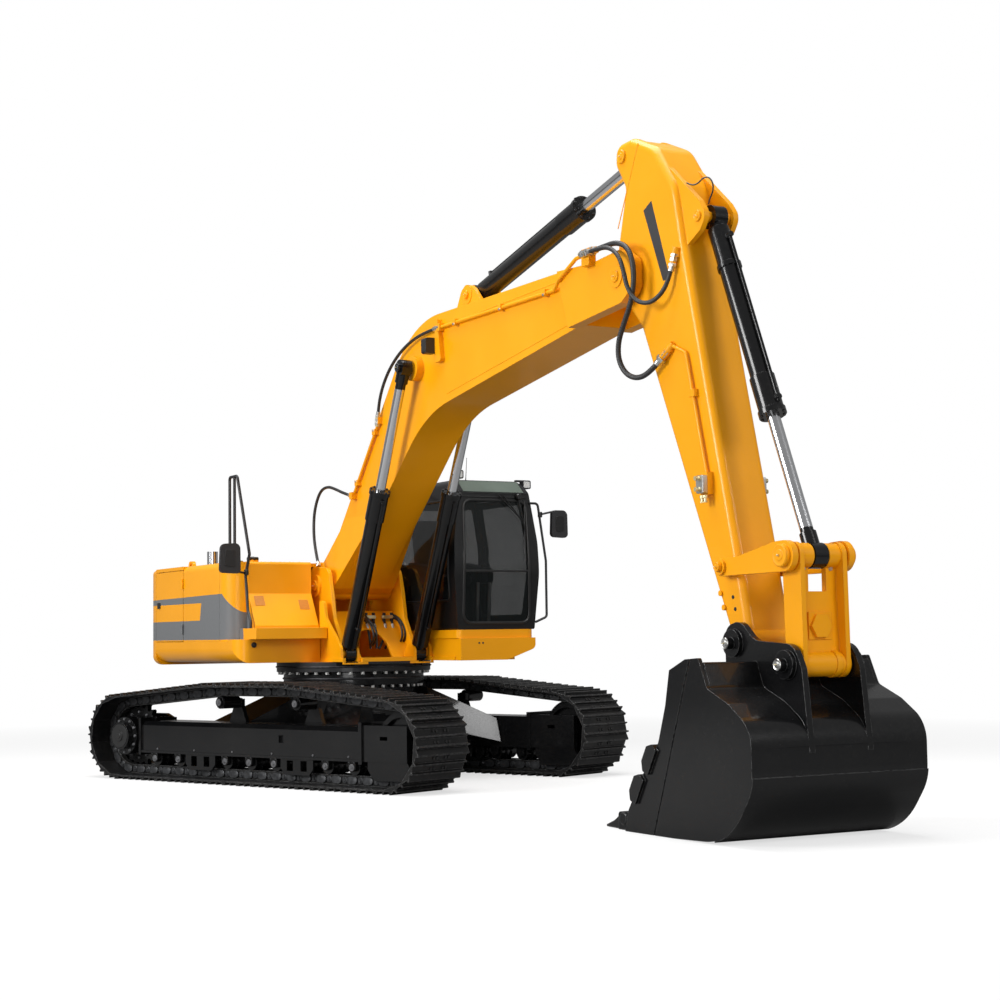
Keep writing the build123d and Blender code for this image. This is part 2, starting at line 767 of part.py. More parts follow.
def roof_hatch():
    """Glazed hatch in the roof: (x, y, radius)."""
    return [(-150, 720, 60), (1050, 720, 60), (1050, 1330, 60), (-150, 1330, 60)]


def door_outline(grow):
    """Cab door on the left: (x, z, radius)."""
    return [
        (230 - grow, 1620 - grow, 60),
        (1240 + grow, 1620 - grow, 60),
        (1290 + grow, 2250, 600),
        (1250 + grow, 3000 + grow, 70),
        (230 - grow, 3000 + grow, 70),
    ]


def door_light():
    """Window of the cab door: (x, z, radius)."""
    return [
        (300, 1720, 60),
        (1180, 1720, 60),
        (1225, 2250, 600),
        (1185, 2930, 60),
        (300, 2930, 60),
    ]


def cab():
    """Cab shell, door and glass."""
    front = (CAB_FRONT - 150, CAB_FRONT + 100)
    right = (CAB_RIGHT - 200, CAB_RIGHT + 150)
    left = (CAB_LEFT - 200, CAB_LEFT + 200)
    back = (CAB_BACK - 50, CAB_BACK + 100)
    top = (CAB_TOP - 100, CAB_TOP + 50)
    windows = [
        beam(front_window(), *front),
        plate(side_window(), *right),
        plate(rear_side_window(), *left),
        beam(rear_window(), *back),
        slab(roof_hatch(), *top),
    ]
    outer = cab_body(0)
    shell = outer - cab_body(CAB_WALL) - plate(door_outline(0), *left)
    panel = (outer - cab_body(CAB_WALL - 5)) & plate(door_outline(-7), *left)
    panel -= plate(door_light(), *left)
    skin = cab_body(8) - cab_body(14)
    panes = []
    for window in windows:
        panes.append(skin & window)
        shell -= window
    x, y = CAB_HINGE
    for z in (1800, 2450):
        panel += Pos(x, y, z) * Cylinder(15, 70)
        panel += block((x, y - 15, z - 35), (x + 42, y, z + 35))
        panel += block((x + 20, y - 56, z - 35), (x + 42, y, z + 35))
        shell += Pos(x, y, z + 76) * Cylinder(15, 70)
        shell += block((x - 42, y - 15, z + 41), (x, y, z + 111))
        shell += block((x - 42, y - 56, z + 41), (x - 20, y, z + 111))
    save("cab_shell", shell)
    save("cab_door", panel)
    save("cab_glass", *panes)
    save("cab_door_glass", skin & plate(door_light(), *left))
    save("cab_plinth", cab_plinth())


def cab_inside():
    """Seat, consoles, screen and levers."""
    x, y = 250, 1010
    floor = CAB_LOW + CAB_WALL
    seat = block((x - 240, y - 245, 2060), (x + 260, y + 245, 2190))
    seat = fillet(seat.edges(), 40)
    back = [(x - 330, 2180, 50), (x - 190, 2180, 30), (x - 280, 2830, 50)]
    back += [(x - 400, 2830, 50)]
    seat += plate(back, y - 240, y + 240)
    save("operator_seat", seat)
    base = block((x - 200, y - 170, floor), (x + 200, y + 170, 2058))
    arm_rest = [(x - 150, 2080, 30), (x + 420, 2080, 60), (x + 420, 2250, 60)]
    arm_rest += [(x - 150, 2330, 30)]
    for side in (-1, 1):
        inner, outer = sorted((y + side * 255, y + side * 385))
        base += plate(arm_rest, inner, outer)
        base += block((x - 100, inner + 10, floor), (x + 150, outer - 10, 2085))
        base += rod((x + 350, y + side * 320, 2230), (x + 370, y + side * 320, 2430), 22)
    for shift in (-70, 70):
        base += rod((1120, y + shift, floor + 20), (1160, y + shift, 2150), 14)
        base += block((1080, y + shift - 50, floor), (1260, y + shift + 50, 1650))
    save("cab_controls", base)


# ---------------------------------------------------------------- working equipment
def boom():
    """Mono boom: cranked box that widens to its foot, forked at the nose."""
    top = 4668.0
    side = [
        (-160, 2245, 0),
        (1998, top, 1320),
        (5250, top, 60),
        (5250, 4150, 0),
        (2284, 3705, 1700),
        (272, 2035, 30),
        (20, 1915, 90),
        (-150, 2040, 90),
    ]
    body = plate(side, -BOOM_HALF, BOOM_HALF)
    foot = [
        (-160, 2245, 60),
        (560, 2960, 0),
        (1080, 2740, 0),
        (272, 2035, 30),
        (20, 1915, 90),
        (-150, 2040, 90),
    ]
    flare = plate(foot, -BOOM_FOOT_HALF, BOOM_FOOT_HALF)
    wedge = [
        (BOOM_HALF - 10, 1880),
        (BOOM_FOOT_HALF + 1, 1880),
        (BOOM_FOOT_HALF + 1, 2080),
        (BOOM_HALF, 2790),
        (BOOM_HALF - 10, 2790),
    ]
    for sign in (-1, 1):
        face = make_face(Polyline(*[(sign * y, z) for y, z in wedge], close=True))
        cut = extrude(Plane.YZ.offset(-400) * face, amount=1700, dir=(1, 0, 0))
        body += flare & cut
    nose = [
        (4980, 4655, 0),
        (5560, 4625, 100),
        (5990, 4660, 80),
        (6150, 4560, 110),
        (6150, 4310, 110),
        (5990, 4215, 90),
        (5150, 4135, 0),
    ]
    for shape in both(plate(nose, ARM_HALF + 12, 328)):
        body += shape
    body -= block((5330, -ARM_HALF - 12, 4000), (6400, ARM_HALF + 12, 4900))
    for shape in both(pin(NOSE_PIN, 95, ARM_HALF + 12, 338)):
        body += shape
    body += pin(NOSE_PIN, 50, -345, 345)
    body += pin(FOOT_PIN, 155, -TOWER_Y + 8, TOWER_Y - 8)
    body -= pin(FOOT_PIN, 61, -TOWER_Y, TOWER_Y)
    body += pin(BOOM_CYL_HEAD, 125, -330, 330)
    lug = [(2740, top - 30, 0), (3330, top - 30, 0), (3110, 4860, 90), (2890, 4880, 90)]
    for shape in both(plate(lug, 104, 144)):
        body += shape
    for shape in both(pin(ARM_CYL_FOOT, 95, 80, 150)):
        body += shape
    body += pin(ARM_CYL_FOOT, 45, -165, 165)
    for shape in both(boom_pipes()):
        body += shape
    bracket = [(2600, 4180, 0), (2720, 4180, 30), (2660, 4600, 0), (2600, 4600, 30)]
    body += plate(bracket, -300, -BOOM_HALF)
    save("boom", body)
    lamp = block((2500, -400, 4270), (2599, -266, 4425))
    lamp = fillet(lamp.edges().filter_by(Axis.X), 25)
    save("boom_lamp", lamp - block((2440, -385, 4285), (2512, -281, 4410)))


def boom_pipes():
    """Steel pipes of the right side, their clamps and their end blocks."""
    upper = [(2700, -275, 4519), (4850, -275, 4517), (5060, -350, 4575)]
    upper += [(5340, -350, 4700), (5560, -350, 4712)]
    shape = tube(upper, 17, 60) + rod((1270, -275, 3740), (640, -275, 3030), 17)
    for x in (3000, 3900, 4700):
        shape += block((x - 25, -300, 4490), (x + 25, -BOOM_HALF + 5, 4548))
    for x, z in ((1180, 3640), (740, 3142)):
        shape += block((x - 35, -300, z - 30), (x + 35, -BOOM_HALF + 5, z + 30))
    shape += block((5480, -385, 4600), (5600, -315, 4745))
    shape += block((2640, -305, 4480), (2710, -BOOM_HALF + 5, 4555))
    shape += block((1240, -300, 3715), (1300, -BOOM_HALF + 5, 3785))
    shape += block((600, -315, 2975), (665, -BOOM_HALF + 5, 3050))
    shape += rod((584, -283, 3016), (624.5, -280.36, 3006.3), 21)
    shape += rod((1277, -290, 3797), (1262.4, -286.6, 3751.8), 21)
    return shape + rod((2594, -282, 4519), (2650, -280, 4520.75), 21)


def boom_hoses():
    """Black hoses of the boom: from the towers, and over its crank."""
    foot = [
        (20, -420, 2292),
        (-75, -420, 2480),
        (-125, -415, 2700),
        (-120, -402, 2920),
        (-20, -380, 3110),
        (130, -355, 3150),
        (270, -325, 3110),
        (400, -295, 3060),
        (584, -283, 3016),
    ]
    crank = [
        (1277, -290, 3797),
        (1320, -300, 3930),
        (1440, -305, 4110),
        (1620, -305, 4270),
        (1850, -305, 4390),
        (2100, -300, 4470),
        (2370, -290, 4512),
        (2594, -282, 4519),
    ]
    shapes = []
    for route in (foot, crank):
        shapes += both(hose(route, 16))
    save("boom_hoses", *shapes)


def arm_hoses():
    """Hoses that hang between the boom's nose and the arm, and a grease line."""
    long_loop = [
        (5601, -350, 4715),
        (5790, -350, 4722),
        (5980, -352, 4720),
        (6150, -356, 4650),
        (6235, -360, 4500),
        (6240, -360, 4330),
        (6180, -360, 4160),
        (6075, -358, 4025),
        (5980, -354, 3886),
        (5965, -343, 3737),
        (6047, -322, 3611),
        (6189, -298, 3562),
        (6332, -272, 3606),
        (6450, -246, 3697),
    ]
    short_loop = [
        (5601, -404, 4700),
        (5780, -404, 4700),
        (5950, -406, 4680),
        (6090, -408, 4590),
        (6160, -406, 4450),
        (6190, -396, 4300),
        (6270, -365, 4180),
        (6400, -325, 4140),
        (6520, -285, 4200),
        (6590, -255, 4320),
        (6619, -243, 4428),
    ]
    grease = [
        (6709, -148, 5077),
        (6760, -138, 5045),
        (6830, -125, 5048),
        (6880, -112, 5085),
        (6940, -98, 5080),
        (6970, -80, 5025),
        (6940, -62, 4965),
        (6888, -58, 4920),
        (6870, -58, 4880),
    ]
    shapes = both(hose(long_loop, 23)) + both(hose(short_loop, 19))
    save("arm_hoses", *shapes, hose(grease, 6))


def arm():
    """Dipper arm: tapered box with lugs for both cylinders."""
    side = [
        (5990, 5612, 120),
        (6330, 5460, 260),
        (6620, 5080, 300),
        (6735, 4530, 0),
        (7324, 2160, 0),
        (7513, 1315, 108),
        (7302, 1312, 108),
        (6080, 4010, 0),
        (5770, 4330, 120),
        (5720, 4620, 120),
        (5880, 5200, 100),
        (5735, 5420, 120),
        (5740, 5600, 110),
    ]
    body = plate(side, -ARM_HALF, ARM_HALF)
    front = body.edges().filter_by_position(Axis.X, 6340, 7600)
    front = [e for e in front if abs(e.center().Y) > ARM_HALF - 1]
    front = [e for e in front if e.center().X > 6600 and e.length > 300]
    front = [e for e in front if e.center().X > 7530 - e.center().Z / 5.2]
    body = fillet(front, 60)
    for shape in both(arm_pipes()):
        body += shape
    slot = [
        (5600, 5290, 0),
        (5930, 5290, 40),
        (6010, 5420, 0),
        (6100, 5540, 0),
        (6100, 5800, 0),
        (5600, 5800, 0),
    ]
    body -= plate(slot, -118, 118)
    lug = [(6480, 5260, 0), (6640, 5120, 150), (6890, 4900, 60), (6985, 4775, 100)]
    lug += [(6900, 4660, 100), (6700, 4560, 0)]
    for shape in both(plate(lug, 118, 165)):
        body += shape
    body += pin(BUCKET_CYL_FOOT, 45, -175, 175)
    for shape in both(pin(ARM_CYL_HEAD, 60, ARM_HALF, ARM_HALF + 12)):
        body += shape
    for shape in both(pin(TIPPING_PIN, 75, ARM_HALF, ARM_HALF + 22)):
        body += shape
    body += pin(TIPPING_PIN, 38, -330, 330)
    body += pin(TIP_PIN, 118, -232, 232)
    body -= pin(TIP_PIN, 46, -240, 240)
    body += pin(NOSE_PIN, 160, -ARM_HALF - 5, ARM_HALF + 5)
    body -= pin(NOSE_PIN, 51, -240, 240)
    save("arm", body)


def arm_pipes():
    """Pipe of the right side from its hose's end to the valve block."""
    skin = -ARM_HALF + 5
    shape = tube([(6560, -228, 3790), (6760, -228, 3700), (7010, -228, 2720)], 13, 40)
    shape += rod((6450, -246, 3697), (6579.8, -217.4, 3797.1), 30)
    shape += rod((6619, -243, 4428), (6655, -228, 4562), 26)
    shape += block((6500, -240, 3735), (6560, skin, 3800))
    shape += block((6605, -240, 4480), (6665, skin, 4550))
    shape += block((6815, -246, 3340), (6885, skin, 3400))
    shape += block((6965, -262, 2560), (7060, skin, 2735))
    for x, z in ((7130, 1800), (7170, 1690)):
        shape += pin((x, z), 22, -ARM_HALF - 14, -ARM_HALF + 5)
    return shape


def barrel_pipe(foot, head, y, reach, offset, start):
    """Supply pipe along a barrel, in its side view, with its two end blocks."""
    length = math.dist(foot, head)
    way = ((head[0] - foot[0]) / length, (head[1] - foot[1]) / length)
    across = (-way[1], way[0])

    def at(distance, out):
        x = foot[0] + distance * way[0] + out * across[0]
        z = foot[1] + distance * way[1] + out * across[1]
        return (x, y, z)

    side = math.copysign(1, offset)
    shape = rod(at(start, offset), at(reach - 70, offset), 14)
    for distance in (start, reach - 100):
        inner = at(distance, offset - side * 45)
        shape += rod(inner, at(distance, offset + side * 22), 24)
    return shape


def cylinder(foot, head, y, barrel_r, rod_r, reach, inside, eye, half):
    """Barrel and rod between two pins, as (barrel, rod).

    reach is the distance from the foot's pin to the barrel's mouth, inside is
    how far the rod goes in at rest and half is half an eye's width.
    """
    length = math.dist(foot, head)

    def at(distance):
        x, z = along(foot, head, distance / length)
        return (x, y, z)

    barrel = rod(at(eye * 1.15), at(reach), barrel_r)
    barrel += rod(at(reach - 330), at(reach), barrel_r + 12)
    barrel += rod(at(reach - 45), at(reach), barrel_r + 22)
    barrel += rod(at(0), at(eye * 1.2), eye * 0.7)
    barrel += pin(foot, eye, y - half, y + half)
    barrel -= pin(foot, 46, y - 120, y + 120)
    barrel -= rod(at(eye * 1.15 + 60), at(reach + 1), rod_r + 1)
    bar = rod(at(reach - inside), at(length), rod_r)
    bar += rod(at(length - eye * 1.9), at(length), rod_r + 14)
    bar += pin(head, eye, y - half, y + half)
    return barrel, bar


def cylinders():
    """The four cylinders, each a barrel node and a rod node."""
    y = BOOM_CYL_Y
    barrel, bar = cylinder(BOOM_CYL_FOOT, BOOM_CYL_HEAD, y, 88, 52, 1851, 620, 82, 55)
    barrel += barrel_pipe(BOOM_CYL_FOOT, BOOM_CYL_HEAD, y, 1851, -112, 330)
    bar += pin(BOOM_CYL_HEAD, 48, y - 70, y + 80)
    save("boom_cylinder_barrels", *both(barrel))
    save("boom_cylinder_rods", *both(bar))
    barrel, bar = cylinder(ARM_CYL_FOOT, ARM_CYL_HEAD, 0, 98, 58, 1991, 1080, 100, 74)
    barrel += barrel_pipe(ARM_CYL_FOOT, ARM_CYL_HEAD, 0, 1991, 122, 260)
    save("arm_cylinder_barrel", barrel)
    save("arm_cylinder_rod", bar + pin(ARM_CYL_HEAD, 45, -110, 110))
    barrel, bar = cylinder(BUCKET_CYL_FOOT, LINK_PIN, 0, 86, 50, 1784, 680, 96, 60)
    barrel += barrel_pipe(BUCKET_CYL_FOOT, LINK_PIN, 0, 1784, 110, 230)
    ring = along(BUCKET_CYL_FOOT, LINK_PIN, 0.15), along(BUCKET_CYL_FOOT, LINK_PIN, 0.163)
    low, high = [(x, 0, z) for x, z in ring]
    barrel += rod(low, high, 97) - rod(low, high, 80)
    save("bucket_cylinder_barrel", barrel)
    save("bucket_cylinder_rod", bar + pin(LINK_PIN, 45, -64, 64))


def linkage():
    """Tipping links beside the arm and the H-shaped bucket link."""
    rows = [
        (TIPPING_PIN[0] - 70, TIPPING_PIN[1] + 75, 65),
        (TIPPING_PIN[0] - 70, TIPPING_PIN[1] - 75, 65),
        (TIPPING_PIN[0] + 60, TIPPING_PIN[1] - 70, 30),
        (LINK_PIN[0] + 115, LINK_PIN[1] - 115, 110),
        (LINK_PIN[0] + 115, LINK_PIN[1] + 115, 110),
        (LINK_PIN[0] - 100, LINK_PIN[1] + 105, 90),
        (TIPPING_PIN[0] + 200, TIPPING_PIN[1] + 68, 30),
    ]
    bar = plate(rows, 235, 285)
    bar += pin(LINK_PIN, 85, 285, 318)
    bar += pin(TIPPING_PIN, 62, 285, 305)
    bar -= pin(TIPPING_PIN, 39, 220, 340)
    save("tipping_links", *both(bar))
    side = [
        (LINK_PIN[0] - 105, LINK_PIN[1] + 100, 95),
        (LINK_PIN[0] + 105, LINK_PIN[1] + 100, 95),
        (EAR_PIN[0] + 100, EAR_PIN[1] - 100, 95),
        (EAR_PIN[0] - 100, EAR_PIN[1] - 100, 95),
    ]
    link = pin(EAR_PIN, 92, -228, 228)
    for shape in both(plate(side, 175, 215)):
        link += shape
    for shape in both(pin(LINK_PIN, 92, 70, 228)):
        link += shape
    web = [(LINK_PIN[0] - 25, 1790, 0), (LINK_PIN[0] + 25, 1790, 0)]
    web += [(EAR_PIN[0] + 25, 1300, 0), (EAR_PIN[0] - 25, 1300, 0)]
    link += plate(web, -176, 176)
    wing = [(LINK_PIN[0] - 25, 1780, 0), (LINK_PIN[0] + 25, 1780, 0)]
    wing += [(LINK_PIN[0] + 25, 1980, 0), (LINK_PIN[0] - 25, 1980, 0)]
    for shape in both(plate(wing, 82, 176)):
        link += shape
    face = LINK_PIN[0] + 20
    link += block((face, -105, 1440), (face + 28, 105, 1640))
    hexagon = Plane.YZ.offset(face + 20) * Pos(0, 1540) * RegularPolygon(95, 6)
    link += extrude(hexagon, amount=32, dir=(1, 0, 0))
    link += pin(EAR_PIN, 100, -228, -175)
    link += pin(EAR_PIN, 100, 95, 140)
    save("bucket_link", link - pin(EAR_PIN, 46, -240, 240))


def bucket():
    """Digging bucket: wrapper, side plates, ears and pins."""
    shell = [
        (7275, 1215, 0),
        (7480, 1268, 0),
        (7668, 1290, 20),
        (7745, 1100, 60),
        (7990, 1000, 120),
        (8255, 830, 260),
        (8255, 420, 330),
        (7960, 18, 560),
        (7300, 0, 60),
        (6700, 0, 0),
        (6700, 140, 0),
        (7120, 700, 500),
    ]
    room = [
        (7240, 1178, 0),
        (7470, 1232, 0),
        (7640, 1250, 30),
        (7700, 1070, 60),
        (7960, 955, 120),
        (8213, 790, 240),
        (8213, 430, 300),
        (7930, 56, 530),
        (7300, 38, 60),
        (6540, 40, 0),
        (6540, 300, 0),
        (7100, 700, 0),
    ]
    side_plate = [
        (7270, 1228, 0),
        (7475, 1309, 20),
        (7640, 1319, 20),
        (7745, 1100, 60),
        (7990, 1000, 120),
        (8255, 830, 260),
        (8255, 420, 330),
        (7960, 18, 560),
        (7300, 0, 60),
        (6640, 0, 0),
        (6690, 165, 60),
        (6903, 452, 200),
        (7107, 679, 200),
        (7212, 968, 200),
    ]
    half = BUCKET_HALF - 32
    shape = plate(shell, -half, half) - plate(room, -half - 1, half + 1)
    for piece in both(plate(side_plate, half, BUCKET_HALF)):
        shape += piece
    joint = [(7560, 1400, 0), (7580, 1400, 0), (7035, -20, 0), (7015, -20, 0)]
    for groove in both(plate(joint, BUCKET_HALF - 8, BUCKET_HALF + 10)):
        shape -= groove
    heel = [(7300, 600, 0), (8267, 600, 0), (8267, 416, 342), (7966, 6, 572), (7300, -12, 0)]
    wear = plate(heel, -BUCKET_HALF, BUCKET_HALF) & block((7800, -900, 1), (8300, 900, 490))
    shape += wear - plate(shell, -BUCKET_HALF, BUCKET_HALF)
    for x, z in ((7010, 560), (6835, 330)):
        guard = [(-120, -25, 20), (-60, -75, 20), (70, -75, 20), (125, -20, 20)]
        guard += [(110, 45, 0), (-105, 45, 0)]
        rows = [(x + a * 0.53 + b * 0.85, z + a * 0.85 - b * 0.53, r) for a, b, r in guard]
        for piece in both(plate(rows, half - 15, BUCKET_HALF + 25)):
            shape += piece
    ear = [
        (7275, 1540, 120),
        (7470, 1590, 130),
        (7640, 1440, 200),
        (8100, 1410, 150),
        (8190, 1240, 80),
        (8262, 640, 20),
        (8210, 640, 0),
        (7700, 1100, 0),
        (7640, 1270, 0),
        (7290, 1200, 0),
    ]
    for piece in both(plate(ear, 240, 290)):
        shape += piece - plate(room, -300, 300)
    for at in (TIP_PIN, EAR_PIN):
        for boss in both(pin(at, 105, 290, 325)):
            shape += boss
        shape += pin(at, 45, -380, 380)
    save("bucket", shape)


def bucket_teeth():
    """Cutting edge teeth and their adapters."""
    tip = [(6262, 3, 0), (6262, 18, 0), (6400, 62, 300), (6505, 122, 0), (6505, 3, 0)]
    holder = [(6490, 1, 0), (6490, 135, 30), (6620, 150, 40), (6699, 70, 0), (6699, 1, 0)]
    teeth = []
    for k in range(5):
        y = -700 + 350 * k
        width = [(6250, y - 22, 0), (6510, y - 46, 0), (6510, y + 46, 0), (6250, y + 22, 0)]
        tooth = plate(tip, y - 60, y + 60) & slab(width, 0, 200)
        tooth += plate(holder, y - 60, y + 60)
        teeth.append(tooth + pin((6560, 85), 46, y - 66, y + 66))
    save("bucket_teeth", *teeth)


def small_parts():
    """Rails, mirrors, lamps and exhaust stub."""
    rail = [(270, -1310, 1615), (270, -1310, 1690), (190, -1310, 1800)]
    rail += [(150, -1318, 2180), (190, -1290, 2400), (60, -1375, 3240)]
    rail += [(-160, -1375, 3240)]
    rail += [(-160, -1375, HOOD_TOP)]
    bars = tube(rail, 16, 35) + rod((-20, -1375, 3235), (-20, -1375, HOOD_TOP), 16)
    right = [(-1640, 2200, 45), (-1405, 2190, 45), (-1410, 2515, 60), (-1625, 2505, 60)]
    bars += beam(right, 192, 235) + rod((212, -1450, 2215), (152, -1318, 2200), 12)
    save("handrail", bars)
    grab = [(1400, 1440, 2920), (1400, 1545, 2920), (1400, 1640, 2300)]
    grab += [(1400, 1640, 1700), (1400, 1500, 1645)]
    left = [(1700, 2560, 45), (1905, 2550, 45), (1900, 2850, 60), (1712, 2850, 45)]
    bars = tube(grab, 13, 40) + beam(left, 1385, 1432)
    save("cab_grab_rail", bars + rod((1405, 1730, 2835), (1400, 1570, 2800), 11))
    lamps = []
    for x, y, z, inner in ((1130, 700, 3182, 690), (1180, 1500, 3088, 1400)):
        lamp = block((x, y - 50, z), (x + 75, y + 50, z + 92))
        lamp = fillet(lamp.edges().filter_by(Axis.X), 18)
        lamp += block((x - 25, min(inner, y), 3166), (x + 20, max(inner, y) + 10, 3186))
        lamps.append(lamp - block((x + 65, y - 40, z + 10), (x + 80, y + 40, z + 82)))
    save("cab_lamps", *lamps)
    stub = Pos(-1690, -1000, HOOD_TOP + 95) * (Cylinder(62, 190) - Cylinder(54, 200))
    save("exhaust_stub", stub)


def main():
    """Build every node into parts/."""
    os.makedirs("parts", exist_ok=True)
    undercarriage()
    save("deck", deck())
    save("counterweight", counterweight())
    save("tank", tank())
    save("toolbox", toolbox())
    save("house_frame", house_frame())
    save("engine_hood", engine_hood())
    save("pump_door", side_door(COUNTER_X + 8, -1316, -1, -1311))
    rear_door = side_door(COUNTER_X + 8, -1330, 1, COUNTER_X + 3)
    save("left_rear_door", louvred(rear_door))
    save("left_front_door", side_door(-1322, CAB_BACK - 66, 1, -1308))
    save("engine_block", engine())
    cab()
    cab_inside()
    boom()
    boom_hoses()
    arm()
    arm_hoses()
    cylinders()
    linkage()
    bucket()
    bucket_teeth()
    small_parts()


main()
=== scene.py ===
"""Dresses the crawler excavator: studio, finishes and the fittings on its frame."""

import math

import bpy
import numpy as np
from mathutils import Matrix, Vector

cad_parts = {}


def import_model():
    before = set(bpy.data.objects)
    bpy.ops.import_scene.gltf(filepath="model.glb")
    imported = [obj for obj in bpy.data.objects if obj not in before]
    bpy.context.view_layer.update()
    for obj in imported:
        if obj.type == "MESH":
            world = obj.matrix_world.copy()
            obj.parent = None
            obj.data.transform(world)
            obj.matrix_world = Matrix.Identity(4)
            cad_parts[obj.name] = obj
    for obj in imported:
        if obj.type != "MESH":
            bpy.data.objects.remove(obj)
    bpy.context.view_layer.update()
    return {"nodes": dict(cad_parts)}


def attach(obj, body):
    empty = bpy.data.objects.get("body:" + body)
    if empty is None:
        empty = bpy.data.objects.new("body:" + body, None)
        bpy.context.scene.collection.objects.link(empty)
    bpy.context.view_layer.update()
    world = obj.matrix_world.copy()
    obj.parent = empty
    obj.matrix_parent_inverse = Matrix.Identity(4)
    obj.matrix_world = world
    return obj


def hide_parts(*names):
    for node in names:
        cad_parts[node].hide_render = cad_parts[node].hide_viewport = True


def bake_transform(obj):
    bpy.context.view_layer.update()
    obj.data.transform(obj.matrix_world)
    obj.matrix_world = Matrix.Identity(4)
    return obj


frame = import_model()
NODES = frame["nodes"]

UNDER_TURN = 20.7
GAUGE = 2.607
SIDE = np.array([0.0, 1.0, 0.0])
RING_TOP = 1.249
SMOOTH_BELOW = math.radians(32)
FLIP = [1.0, -1.0, 1.0]
PINS = {
    # x and z of each pin, named after what it holds
    "boom_foot": (0.020, 2.070), "boom_barrel": (0.760, 1.335), "boom_rod": (2.145, 4.180),
    "arm": (5.930, 4.445), "arm_barrel": (2.990, 4.800), "arm_rod": (5.860, 5.480),
    "tipping_links": (7.245, 1.997), "bucket_barrel": (6.875, 4.775), "bucket_rod": (8.003, 2.050),
    "bucket": (7.400, 1.420), "bucket_link": (8.026, 1.265),
}

bl_info = {
    "name": "Crawler excavator dressing",
    "version": (1, 0, 0),
    "blender": (4, 5, 0),
    "location": "View3D > Sidebar > Excavator",
    "description": "Finishes and fittings of a crawler excavator",
    "category": "Object",
}


# ------------------------------------------------------------------ shader maths
class Level:
    """A number socket; arithmetic on it adds Math nodes to its material."""

    def __init__(self, finish, socket):
        self.finish = finish
        self.socket = socket

    def maths(self, operation, *values):
        node = self.finish.node("ShaderNodeMath", {"operation": operation}, *values)
        return Level(self.finish, node.outputs[0])

    def __add__(self, other):
        return self.maths("ADD", self, other)

    def __sub__(self, other):
        return self.maths("SUBTRACT", self, other)

    def __rsub__(self, other):
        return self.maths("SUBTRACT", other, self)

    def __mul__(self, other):
        return self.maths("MULTIPLY", self, other)

    def __gt__(self, other):
        return self.maths("GREATER_THAN", self, other)

    def __lt__(self, other):
        return self.maths("LESS_THAN", self, other)

    __radd__ = __add__
    __rmul__ = __mul__

    def ramp(self, low, high):
        """0 below low, 1 above high, straight between them."""
        sockets = {"Value": self, "From_Min": low, "From_Max": high}
        made = self.finish.node("ShaderNodeMapRange", {"clamp": True}, **sockets)
        return Level(self.finish, made.outputs[0])

    def largest(self, other):
        return self.maths("MAXIMUM", self, other)

    def size(self):
        return self.maths("ABSOLUTE", self)

    def root(self):
        return self.maths("SQRT", self)

    def sine(self):
        return self.maths("SINE", self)


class Finish:
    """One material: a principled shader and the nodes that feed it."""

    def __init__(self, name, **constants):
        self.material = bpy.data.materials.new(name)
        self.material.use_nodes = True
        self.tree = self.material.node_tree
        self.tree.nodes.clear()
        self.shader = self.node("ShaderNodeBsdfPrincipled", {})
        self.out = self.node("ShaderNodeOutputMaterial", {}, Surface=self.shader.outputs[0])
        self.place = self.node("ShaderNodeTexCoord", {}).outputs["Object"]
        self.feed(**constants)

    def node(self, kind, settings, *values, **sockets):
        """Node of a kind: settings first, then sockets by order or by name."""
        made = self.tree.nodes.new(kind)
        for key, value in settings.items():
            setattr(made, key, value)
        for index, value in enumerate(values):
            self.put(made.inputs[index], value)
        for key, value in sockets.items():
            self.put(made.inputs[key.replace("_", " ")], value)
        return made

    def put(self, socket, value):
        """Link a level or another socket into a socket, or set its plain value."""
        if isinstance(value, Level):
            value = value.socket
        if isinstance(value, bpy.types.NodeSocket):
            self.tree.links.new(value, socket)
        else:
            socket.default_value = value

    def noise(self, scale, detail=4.0, rough=0.5):
        """Cloudy noise from 0 to 1 at a scale in waves per metre."""
        sockets = {"Scale": scale, "Detail": detail, "Roughness": rough}
        made = self.node("ShaderNodeTexNoise", {}, Vector=self.place, **sockets)
        return Level(self, made.outputs[0])

    def axes(self):
        """The place on the object as three numbers."""
        made = self.node("ShaderNodeSeparateXYZ", {}, self.place)
        return [Level(self, socket) for socket in made.outputs]

    def mix(self, share, first, second):
        """Colour between two colours or colour sockets."""
        made = self.node("ShaderNodeMix", {"data_type": "RGBA"})
        for index, value in ((0, share), (6, first), (7, second)):
            self.put(made.inputs[index], value)
        return made.outputs[2]

    def feed(self, **sockets):
        """Give the shader's sockets levels, colours or plain values."""
        for key, value in sockets.items():
            self.put(self.shader.inputs[key.replace("_", " ")], value)

    def over(self, share, colour):
        """Lay a colour over the base colour by a share from 0 to 1."""
        base = self.shader.inputs["Base Color"].links[0].from_socket
        self.feed(Base_Color=self.mix(share, base, colour))

    def relief(self, height, depth, bevel=0.0):
        """Bump of a depth in metres, over edges rounded by bevel."""
        sockets = {"Height": height, "Distance": depth, "Strength": 1.0}
        if bevel:
            edge = self.node("ShaderNodeBevel", {"samples": 4}, Radius=bevel)
            sockets["Normal"] = edge.outputs[0]
        self.feed(Normal=self.node("ShaderNodeBump", {}, **sockets).outputs[0])


def rgb(colour, times=1.0):
    return (*(times * part for part in colour), 1.0)


